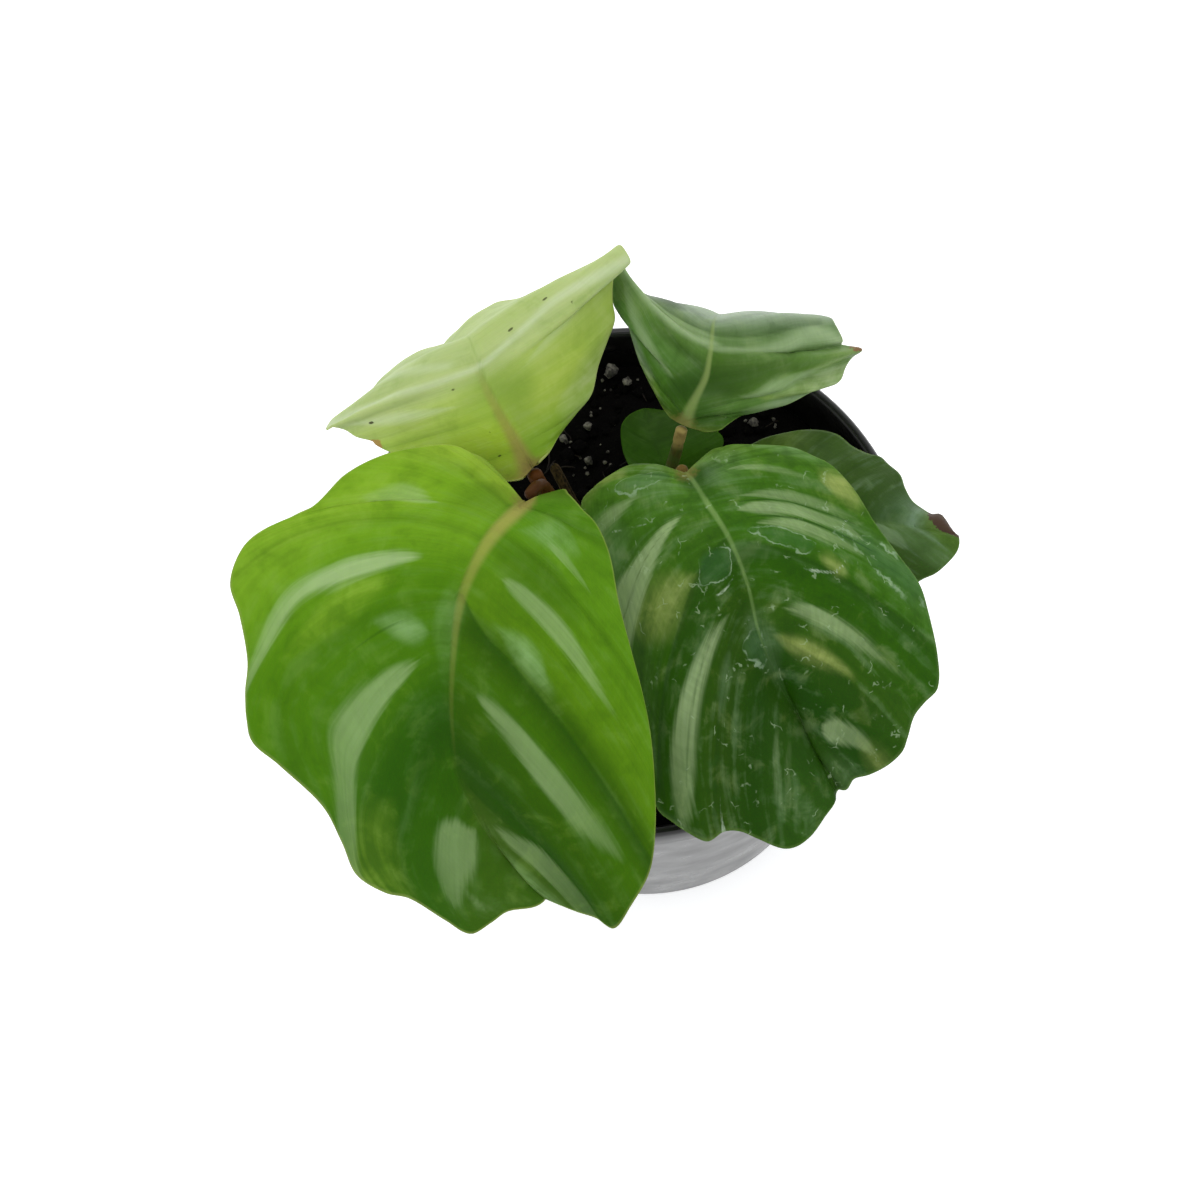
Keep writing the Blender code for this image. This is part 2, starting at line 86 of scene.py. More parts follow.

# ---- the blades ----
# The points are the solids' own: base, tip, midrib and both margins, in millimetres. Each margin
# point starts with its share of the margin, base to tip. Left and right are the blade's own, seen
# from its base with the glossy side up. Sweep, veins, leans and tones are for left and right.
# Dome bows each half up, as a share of its width, puff swells it between the veins, in mm, and
# grid is the sheet's steps along and across. Veins are the shares of the margin at which the
# main side veins end. A lean says how far the veins near a share stray towards the tip from
# midrib to margin, and how much more at the margin. Tones colour the tissue from base to tip,
# with painted light in them: the back blades pale towards their crests as a painted sheen, and
# the front blades darken towards their tips, partly as painted shade.
#
# A mark is a stroke across the blade: how strong it is, and rows of its way: the place from the
# left margin, -1, to the right, 1, its share of the margin there, and half its width. Silver is
# the pale stripe, and sheen a soft one, which along the back blades' crests is a painted
# highlight. Glow is painted light: the tissue painted yellower where it is lit. Bloom is a
# painted highlight, a pale sheen, and shade is painted shade. A line is a thin dark vein, a speck
# is dark, and a nick is dried brown. Film is dried water with a broken pale outline, and rime a
# white line that it left. A fold has a sharp lip and is painted dark, as shade, for its width
# beyond it, towards the tip, or towards the base where the width is negative.
#
# In look, rib_at is the midrib's strength and half its width in mm along the blade, and rib_shift
# is how far it lies to the left of its line, in mm. Glow colours the painted light and the pale
# mottling, bloom the painted highlights and the pale streaks, and deep the darker tissue, the
# veins and the painted shade.

# ---- front left blade: the largest, bright green ----

FRONT_LEFT = dict(
    base=(-17, -6, 138), tip=(-23, -72, 104),
    midrib=[(-24.5, -13, 140), (-30.5, -22, 138), (-34, -32, 133), (-36, -42, 126), (-36, -50, 119),
            (-32, -60, 112)],
    left=[(0.08, -9.5, -5, 139), (0.12, -8.5, -6, 138.5), (0.17, -6.5, -9, 138), (0.222, -4, -12, 136),
          (0.275, -2.5, -17, 133), (0.333, -2, -25.5, 129), (0.39, -1, -33, 125), (0.444, 0, -40, 121),
          (0.5, 0.5, -48, 117), (0.556, 0, -56, 112.5), (0.61, -1, -63, 109), (0.667, -3, -70, 106.5),
          (0.73, -7.5, -75.5, 103.5), (0.778, -11, -78.5, 101), (0.82, -14, -76.5, 102),
          (0.889, -17.5, -75, 103)],
    right=[(0.08, -23.5, 3, 140), (0.13, -26, 5, 140), (0.18, -29, 7, 140), (0.231, -33.5, 8, 139.5),
           (0.27, -42.5, 8, 138.5), (0.308, -50.5, 6, 136.5), (0.335, -56.5, 1.5, 135),
           (0.36, -62, 0.5, 133), (0.385, -67.5, -0.5, 131.5), (0.42, -72.5, -2.5, 129),
           (0.462, -76, -8, 125.5), (0.5, -75, -14, 122.5), (0.538, -74.5, -22, 119.5),
           (0.58, -76, -28, 116), (0.615, -76, -35.5, 112.5), (0.65, -71, -41, 111),
           (0.692, -63.5, -49.5, 109), (0.73, -60.5, -56.5, 106.5), (0.769, -58.5, -62.5, 104),
           (0.805, -53.5, -66.5, 103.5), (0.846, -48.5, -68.5, 103.5), (0.885, -42.5, -73, 102),
           (0.923, -38, -76, 101), (0.945, -34, -74.5, 101.5), (0.965, -30.5, -73, 102.5),
           (0.985, -25.5, -73, 103)],
    dome=0.06, sweep=(0.15, 0.28), vein_power=2.4, grid=(210, 112), puff=1.0,
    veins=([0.08, 0.25, 0.445, 0.642, 0.835, 1.0], [0.08, 0.25, 0.44, 0.61, 0.8, 1.0]),
    leans=([(0.347, 0.1, 0), (0.541, 0.045, 0), (0.725, -0.025, 0), (0.895, -0.08, 0)],
           [(0.343, -0.05, 0), (0.528, -0.04, 0.05), (0.683, -0.01, 0.09), (0.908, 0.02, 0.03)]),
    tones=([(0.08, "486911"), (0.2, "4c790f"), (0.36, "588711"), (0.46, "55830d"), (0.6, "527c09"),
            (0.655, "365b00"), (0.7, "3a6301"), (0.77, "2e5300"), (0.83, "224600"), (0.93, "3a5713")],
           [(0.08, "7d9931"), (0.2, "809f29"), (0.3, "709b19"), (0.45, "6a9717"), (0.6, "4a7903"),
            (0.68, "427003"), (0.77, "285400"), (0.86, "2c5700"), (0.95, "36590b")]),
    marks=dict(
        silver=[(0.32, (-0.66, 0.385, 0), (-0.55, 0.365, 0.018), (-0.4, 0.352, 0.02), (-0.3, 0.345, 0)),
                (0.38, (-0.8, 0.557, 0), (-0.6, 0.55, 0.016), (-0.45, 0.538, 0.024),
                 (-0.3, 0.532, 0.022), (-0.18, 0.53, 0.016), (-0.13, 0.53, 0)),
                (0.36, (-0.92, 0.7, 0), (-0.86, 0.705, 0.012), (-0.72, 0.717, 0.022),
                 (-0.55, 0.725, 0.023), (-0.33, 0.726, 0.018), (-0.2, 0.727, 0.012), (-0.15, 0.727, 0)),
                (0.25, (-1, 0.85, 0.04), (-0.7, 0.86, 0.033), (-0.5, 0.885, 0.02), (-0.25, 0.9, 0)),
                (0.36, (0.3, 0.375, 0), (0.36, 0.37, 0.018), (0.5, 0.352, 0.028), (0.65, 0.34, 0.024),
                 (0.8, 0.335, 0)),
                (0.72, (0.22, 0.533, 0), (0.3, 0.532, 0.013), (0.445, 0.528, 0.019),
                 (0.61, 0.523, 0.018), (0.78, 0.517, 0.013), (0.89, 0.532, 0.017), (1, 0.567, 0.019)),
                (0.42, (0.2, 0.695, 0), (0.33, 0.694, 0.014), (0.445, 0.691, 0.018),
                 (0.61, 0.689, 0.022), (0.78, 0.694, 0.027), (0.89, 0.717, 0.031), (1, 0.752, 0.034)),
                (0.32, (0.1, 0.925, 0), (0.28, 0.912, 0.022), (0.445, 0.9, 0.032), (0.61, 0.895, 0.028),
                 (0.78, 0.895, 0.02), (0.9, 0.9, 0)),
                (0.3, (0.6, 0.91, 0), (0.75, 0.93, 0.008), (0.88, 0.945, 0))],
        fold=[(0.75, (-1, 0.652, 0.05), (-0.75, 0.656, 0.05), (-0.5, 0.653, 0.05), (-0.25, 0.645, 0.055),
               (-0.12, 0.635, 0.055), (-0.02, 0.6, 0.04)),
              (0.75, (-1, 0.812, -0.06), (-0.75, 0.822, -0.06), (-0.6, 0.843, -0.065),
               (-0.4, 0.868, -0.07), (-0.1, 0.88, -0.05))],
        line=[(0.4, (0.2, 0.64, 0.001), (0.4, 0.636, 0.002), (0.6, 0.635, 0))],
        glow=[(0.32, (0.3, 0.4, 0), (0.6, 0.38, 0.12), (1, 0.4, 0.14)),
              (0.3, (0.3, 0.575, 0), (0.55, 0.565, 0.05), (0.85, 0.58, 0)),
              (0.3, (0.5, 0.22, 0), (0.8, 0.22, 0.12), (1, 0.2, 0.14)),
              (0.2, (0.6, 0.79, 0), (0.85, 0.78, 0.06), (1, 0.8, 0.08))],
        bloom=[(0.6, (-0.42, 0.628, 0.012), (-0.36, 0.618, 0.03), (-0.28, 0.615, 0.03),
                (-0.2, 0.615, 0.01)),
               (0.55, (0.12, 0.668, 0), (0.25, 0.648, 0.03), (0.42, 0.615, 0)),
               (0.4, (-0.65, 0.31, 0), (-0.4, 0.31, 0.07), (-0.1, 0.37, 0)),
               (0.2, (0, 0.66, 0.09), (0.06, 0.66, 0.09), (0.12, 0.67, 0)),
               (0.3, (-1, 0.96, 0.05), (-0.5, 0.95, 0.04), (0, 0.95, 0))],
        shade=[(0.6, (0, 0.8, 0.05), (0.3, 0.81, 0.04), (0.7, 0.83, 0)),
               (0.3, (-0.5, 0.42, 0), (-0.3, 0.42, 0.05), (-0.1, 0.44, 0)),
               (0.35, (-0.1, 0.25, 0.1), (0, 0.25, 0.2), (0.2, 0.27, 0.2), (0.4, 0.3, 0)),
               (0.4, (-0.55, 0.47, 0), (-0.3, 0.48, 0.12), (0, 0.46, 0))]),
    look=dict(deep="1f4502", silver="a3bb84", glow="9dbf3c", bloom="84a86a", rib="a59c52", rim="9aa455",
              under="a9bd80",
              rib_at=[(0.08, 0.65, 1.2), (0.3, 0.65, 1.15), (0.4, 0.6, 1.1), (0.5, 0.48, 1.0),
                      (0.6, 0.3, 0.9), (0.75, 0.1, 0.7), (0.85, 0, 0.5)],
              rib_shift=1.0, mottle=0.06, streaks=0.12, wrinkle=0.04, gloss=0.42))

# ---- front right blade: dark, with dried water on it ----

FRONT_RIGHT = dict(
    base=(14, 0, 130), tip=(34, -59, 102),
    midrib=[(17, -8, 132), (20, -15, 131), (22, -22, 127), (23, -30, 122), (26, -38, 115),
            (30, -46, 109)],
    left=[(0.08, 19.5, 4, 130), (0.13, 22, 4.5, 130), (0.182, 24.5, 5, 129.5), (0.273, 35, 4.5, 126.5),
          (0.32, 39.5, 2.5, 125), (0.364, 43, 0, 124), (0.41, 46.5, -4.5, 121.5),
          (0.455, 49.5, -11, 119), (0.5, 53, -17.5, 117), (0.545, 56, -23, 115), (0.59, 57, -28, 112.5),
          (0.636, 57.5, -36, 109.5), (0.68, 56.5, -42, 107.5), (0.7, 53.5, -44.5, 107.5),
          (0.727, 51, -47, 107.5), (0.77, 49, -51, 107), (0.8, 47.5, -53.5, 106.5),
          (0.83, 44.5, -55.5, 106), (0.87, 41, -56.5, 105), (0.909, 38, -56.5, 103.5),
          (0.93, 36.5, -58, 102.5), (0.96, 35, -57.5, 101.5)],
    right=[(0.08, 9, 3, 129), (0.14, 6.5, 3.5, 128.5), (0.19, 4, 4.5, 128), (0.273, 0, 4, 126.5),
           (0.32, -4, 2.5, 124.5), (0.364, -7, -0.5, 122.5), (0.45, -6, -14, 115),
           (0.54, -3, -32.5, 107.5), (0.6, -1, -49, 102.5), (0.636, 0, -56, 100.5),
           (0.68, 3, -59.5, 100), (0.7, 5.5, -62, 100.5), (0.727, 8, -64, 101), (0.75, 9.5, -64, 101),
           (0.78, 12, -63, 102), (0.818, 15, -63.5, 102.5), (0.86, 18, -65, 101.5),
           (0.909, 22.5, -67, 99.5), (0.935, 25.5, -67, 99.5), (0.955, 28.5, -65.5, 100.5),
           (0.975, 31.5, -62.5, 101.5), (0.99, 33.5, -60.5, 102)],
    dome=0.06, sweep=(0.28, 0.4), vein_power=2.4, grid=(210, 112), puff=0.8,
    veins=([0.08, 0.3, 0.47, 0.635, 0.8, 1.0], [0.08, 0.3, 0.49, 0.625, 0.8, 1.0]),
    leans=([(0.41, 0.06, 0), (0.53, 0.07, 0), (0.63, 0, 0), (0.727, -0.055, 0), (0.875, -0.1, 0)],
           [(0.43, 0.03, 0), (0.548, 0, 0), (0.7, -0.04, 0.04), (0.92, 0.05, 0)]),
    tones=([(0.08, "547328"), (0.2, "567928"), (0.3, "4e791e"), (0.44, "3a6510"), (0.6, "39650e"),
            (0.66, "2a5500"), (0.77, "2e5108"), (0.85, "183d00"), (0.95, "264506")],
           [(0.08, "56752a"), (0.2, "527328"), (0.3, "507920"), (0.44, "446f1c"), (0.6, "365f0c"),
            (0.68, "244900"), (0.77, "2a4806"), (0.85, "1d3f00"), (0.95, "2a4d0e")]),
    marks=dict(
        silver=[(0.34, (-0.72, 0.405, 0.008), (-0.5, 0.377, 0.02), (-0.29, 0.343, 0.012)),
                (0.36, (-0.9, 0.462, 0.004), (-0.7, 0.462, 0.018), (-0.4, 0.462, 0.019),
                 (-0.22, 0.465, 0.006)),
                (0.5, (-0.78, 0.508, 0.022), (-0.45, 0.516, 0.028), (-0.25, 0.52, 0.025),
                 (-0.14, 0.523, 0.008)),
                (0.5, (-0.72, 0.565, 0.012), (-0.5, 0.566, 0.022), (-0.2, 0.57, 0.008)),
                (0.46, (-0.93, 0.695, 0.003), (-0.8, 0.705, 0.011), (-0.65, 0.712, 0.019),
                 (-0.45, 0.725, 0.019), (-0.3, 0.74, 0.011), (-0.2, 0.75, 0)),
                (0.46, (-0.95, 0.833, 0), (-0.85, 0.84, 0.019), (-0.75, 0.852, 0.025),
                 (-0.65, 0.866, 0.022), (-0.56, 0.875, 0)),
                (0.48, (0.4, 0.395, 0), (0.6, 0.405, 0.018), (0.85, 0.41, 0.014), (0.95, 0.41, 0)),
                (0.68, (0.15, 0.488, 0), (0.25, 0.505, 0.017), (0.4, 0.527, 0.026), (0.6, 0.533, 0.032),
                 (0.8, 0.525, 0.036), (0.96, 0.52, 0.01)),
                (0.55, (0.23, 0.73, 0), (0.33, 0.72, 0.009), (0.45, 0.713, 0.014), (0.6, 0.703, 0.017),
                 (0.75, 0.693, 0.022), (0.88, 0.69, 0.024), (0.98, 0.692, 0.012)),
                (0.24, (0.3, 0.9, 0), (0.7, 0.905, 0.006), (0.85, 0.93, 0)),
                (0.24, (0.3, 0.92, 0), (0.7, 0.925, 0.006), (0.85, 0.95, 0))],
        fold=[(0.6, (-0.95, 0.625, 0.05), (-0.6, 0.63, 0.05), (-0.1, 0.62, 0.04)),
              (0.5, (-0.9, 0.775, 0.05), (-0.5, 0.79, 0.045), (-0.1, 0.8, 0.04)),
              (0.7, (0.03, 0.6, 0.05), (0.4, 0.645, 0.05), (0.7, 0.64, 0.05), (0.95, 0.635, 0.05)),
              (0.5, (0.05, 0.74, 0.05), (0.5, 0.755, 0.05), (0.95, 0.75, 0.05))],
        line=[(0.6, (-0.85, 0.48, 0.002), (-0.4, 0.486, 0.003), (-0.18, 0.492, 0.002)),
              (0.6, (-0.8, 0.54, 0.003), (-0.4, 0.547, 0.003), (-0.15, 0.552, 0.002)),
              (0.4, (0.25, 0.507, 0.001), (0.6, 0.533, 0.002), (0.85, 0.52, 0.001)),
              (0.35, (0.3, 0.722, 0.001), (0.6, 0.703, 0.002), (0.9, 0.697, 0.001))],
        glow=[(0.6, (-0.65, 0.775, 0.01), (-0.5, 0.785, 0.022), (-0.3, 0.797, 0.022), (-0.12, 0.8, 0)),
              (0.45, (0.22, 0.64, 0), (0.35, 0.615, 0.045), (0.5, 0.6, 0.06), (0.66, 0.57, 0.03),
               (0.75, 0.56, 0)),
              (0.45, (-0.62, 0.62, 0), (-0.54, 0.62, 0.025), (-0.46, 0.62, 0)),
              (0.65, (-1, 0.4, 0.04), (-0.88, 0.41, 0.05), (-0.78, 0.41, 0)),
              (0.5, (0.6, 0.32, 0), (0.85, 0.31, 0.07), (1, 0.31, 0.08)),
              (0.3, (-1, 0.84, 0.03), (-0.9, 0.84, 0.03), (-0.8, 0.84, 0))],
        bloom=[(0.22, (-0.75, 0.2, 0), (-0.5, 0.22, 0.14), (-0.2, 0.32, 0.16), (-0.05, 0.36, 0)),
               (0.35, (-1, 0.28, 0.1), (-0.88, 0.29, 0.1), (-0.72, 0.3, 0)),
               (0.3, (0.35, 0.765, 0), (0.5, 0.765, 0.03), (0.68, 0.76, 0)),
               (0.3, (0.12, 0.4, 0), (0.3, 0.33, 0.13), (0.5, 0.28, 0.13), (0.62, 0.2, 0)),
               (0.2, (-1, 0.55, 0.08), (-0.8, 0.54, 0.08), (-0.6, 0.54, 0)),
               (0.3, (0.5, 0.46, 0), (0.75, 0.45, 0.08), (1, 0.45, 0.06)),
               (0.15, (-1, 0.93, 0.08), (-0.7, 0.95, 0.06), (-0.4, 0.97, 0)),
               (0.2, (-0.25, 0.8, 0), (0, 0.82, 0.08), (0.25, 0.8, 0))],
        shade=[(0.4, (0.1, 0.85, 0), (0.5, 0.86, 0.04), (0.9, 0.86, 0)),
               (0.5, (-0.8, 0.93, 0), (-0.3, 0.92, 0.07), (0.3, 0.95, 0.05), (0.8, 0.97, 0)),
               (0.85, (-0.4, 0.2, 0), (-0.15, 0.27, 0.18), (0.02, 0.3, 0.18), (0.2, 0.27, 0)),
               (0.7, (-0.2, 0.8, 0), (0.05, 0.81, 0.07), (0.2, 0.81, 0)),
               (0.5, (0.55, 0.17, 0), (0.8, 0.17, 0.09), (1, 0.17, 0.09)),
               (0.45, (-0.3, 0.64, 0), (-0.05, 0.65, 0.05), (0.15, 0.68, 0))],
        film=[(0.95, (0.01, 0.63, 0.01), (0.07, 0.64, 0.05), (0.18, 0.645, 0.055), (0.27, 0.65, 0.01)),
              (0.65, (-1, 0.54, 0.08), (-0.83, 0.54, 0.08), (-0.68, 0.55, 0.04), (-0.58, 0.55, 0)),
              (0.55, (-0.52, 0.6, 0), (-0.4, 0.605, 0.03), (-0.22, 0.6, 0.035), (-0.1, 0.59, 0)),
              (0.75, (0.14, 0.3, 0.02), (0.28, 0.31, 0.07), (0.48, 0.34, 0.07), (0.64, 0.37, 0)),
              (0.45, (-0.1, 0.8, 0), (0.1, 0.82, 0.05), (0.3, 0.8, 0))],
        rime=[(0.6, (-0.83, 0.47, 0.002), (-0.72, 0.51, 0.003), (-0.64, 0.56, 0.003),
               (-0.6, 0.61, 0.003), (-0.42, 0.65, 0.004), (-0.25, 0.66, 0.002)),
              (0.55, (0.05, 0.685, 0.001), (0.14, 0.697, 0.003), (0.24, 0.69, 0.002)),
              (0.45, (0.37, 0.47, 0.001), (0.5, 0.455, 0.003), (0.7, 0.43, 0.002)),
              (0.45, (0.2, 0.22, 0.002), (0.45, 0.3, 0.003), (0.55, 0.36, 0.002)),
              (0.4, (0.88, 0.77, 0.001), (0.96, 0.775, 0.003), (1, 0.78, 0.006))]),
    look=dict(deep="1a3c05", silver="a2b884", glow="9ca95c", bloom="7f9c70", rib="8fae66", rim="5f7a38",
              under="8fa872",
              rib_at=[(0.08, 0.25, 0.4), (0.2, 0.35, 0.45), (0.3, 0.35, 0.45), (0.4, 0.25, 0.4),
                      (0.47, 0.45, 0.5), (0.55, 0.4, 0.5), (0.68, 0.25, 0.5), (0.79, 0.2, 0.5),
                      (0.84, 0, 0.4)],
              mottle=0.12, streaks=0.32, wrinkle=0.14, gloss=0.46))

# ---- back left blade: the youngest, pale and tented ----

BACK_LEFT = dict(
    base=(-15, 4, 133), tip=(-34, 47, 111.5),
    midrib=[(-17, 8, 138), (-20, 14, 143), (-22, 20, 145), (-23.5, 27.5, 144), (-25.5, 33, 136),
            (-30, 40, 124)],
    left=[(0.1, -18, 2, 132.5), (0.2, -24, 4.5, 130), (0.3, -33.5, 11, 126), (0.4, -43, 18, 122.5),
          (0.47, -46.5, 21, 121.5), (0.5, -47.5, 22.5, 121), (0.55, -51, 25, 119.5),
          (0.59, -53.5, 28, 118), (0.62, -56, 29, 118), (0.65, -58, 31, 114), (0.68, -56, 32.5, 115.5),
          (0.75, -50, 35, 116), (0.82, -45.5, 41, 115), (0.88, -43, 44, 113), (0.94, -38, 46.5, 112)],
    right=[(0.1, -13, 5, 134), (0.15, -11, 7.5, 133), (0.2, -9, 11.5, 132), (0.25, -5.5, 15.5, 132),
           (0.3, -2, 19.5, 132), (0.35, 0, 25, 133), (0.4, 2.5, 30, 134), (0.44, 4.5, 34, 135),
           (0.47, 4.5, 37.5, 136), (0.5, 5, 41, 137), (0.535, 6, 44, 138), (0.57, 9, 44, 139),
           (0.6, 8.5, 46.5, 139.5), (0.63, 7.5, 48.5, 139), (0.66, 5.5, 48, 138), (0.7, 2.5, 47.5, 136),
           (0.74, -1, 46, 133.5), (0.77, -4.5, 47.5, 131.5), (0.8, -8, 48, 129),
           (0.85, -14.5, 49.5, 124.5), (0.88, -19.5, 51, 122), (0.92, -24, 50.5, 118.5),
           (0.96, -29, 49.5, 115)],
    dome=0.08, sweep=(0.05, 0.05), vein_power=1.6, grid=(170, 104), puff=0.6,
    veins=([0.08, 0.27, 0.44, 0.594, 0.78, 1.0], [0.08, 0.27, 0.46, 0.584, 0.78, 1.0]),
    leans=([(0.45, 0.03, 0), (0.594, 0.06, 0), (0.8, 0.04, 0)],
           [(0.45, -0.03, 0), (0.584, -0.05, 0), (0.8, -0.04, 0)]),
    tones=([(0.08, "867f3a"), (0.2, "88a032"), (0.28, "8ca82c"), (0.36, "96b234"), (0.44, "9cb844"),
            (0.52, "a2b858"), (0.6, "aaba76"), (0.68, "a2b472"), (0.8, "a4b676")],
           [(0.08, "6c7426"), (0.2, "6f9222"), (0.28, "7a9a2e"), (0.36, "87a13a"), (0.44, "90a844"),
            (0.52, "9ab056"), (0.6, "acbb7c"), (0.68, "a2b46c"), (0.8, "a4b672")]),
    marks=dict(
        # the first sheen stroke runs along the crest: a painted highlight
        sheen=[(0.55, (-1, 0.66, 0.024), (-0.6, 0.64, 0.02), (-0.3, 0.617, 0.018), (0, 0.605, 0.018),
                (0.2, 0.61, 0.018), (0.5, 0.62, 0.02), (0.8, 0.595, 0.022), (1, 0.58, 0.02)),
               (0.4, (-0.9, 0.6, 0.015), (-0.75, 0.575, 0.03), (-0.5, 0.545, 0.032), (-0.2, 0.505, 0)),
               (0.25, (0.2, 0.5, 0), (0.5, 0.53, 0.03), (1, 0.58, 0.03)),
               (0.3, (-0.15, 0.65, 0.02), (-0.4, 0.69, 0.02), (-0.7, 0.72, 0.02))],
        glow=[(0.2, (0.1, 0.42, 0), (0.45, 0.42, 0.12), (0.8, 0.44, 0))],
        bloom=[(0.35, (0.4, 0.33, 0), (0.75, 0.34, 0.14), (1, 0.34, 0.14))],
        shade=[(0.45, (-0.3, 0.48, 0), (-0.05, 0.5, 0.15), (0.1, 0.47, 0.18), (0.3, 0.44, 0)),
               (0.2, (0.5, 0.25, 0), (0.8, 0.25, 0.06), (1, 0.25, 0.06))],
        speck=[(0.9, (-0.31, 0.272, 0.004), (-0.27, 0.276, 0.004)),
               (0.8, (-0.16, 0.379, 0.003), (-0.14, 0.381, 0.003)),
               (0.8, (-0.205, 0.57, 0.004), (-0.18, 0.57, 0.004)),
               (0.9, (-0.8, 0.575, 0.005), (-0.77, 0.575, 0.005)),
               (0.8, (0.21, 0.637, 0.004), (0.235, 0.637, 0.004)),
               (0.8, (0.46, 0.643, 0.004), (0.48, 0.643, 0.004)),
               (0.8, (0.57, 0.587, 0.003), (0.59, 0.587, 0.003))],
        nick=[(0.8, (-1, 0.48, 0.035), (-0.96, 0.48, 0.024), (-0.93, 0.49, 0.004))]),
    look=dict(deep="66862a", silver="c4d0ae", glow="b4c257", bloom="b4c08e", rib="8c7c44", rim="b5c07a",
              under="c0cf9a", nick="a0703e",
              rib_at=[(0.08, 0.7, 1.7), (0.2, 0.75, 1.5), (0.3, 0.7, 1.2), (0.4, 0.5, 0.9),
                      (0.5, 0.3, 0.8), (0.6, 0.05, 0.6), (0.64, 0, 0.6)],
              rib_shift=0.8, mottle=0.06, streaks=0.15, wrinkle=0.03, gloss=0.45))

# ---- back right blade: dark and tented ----

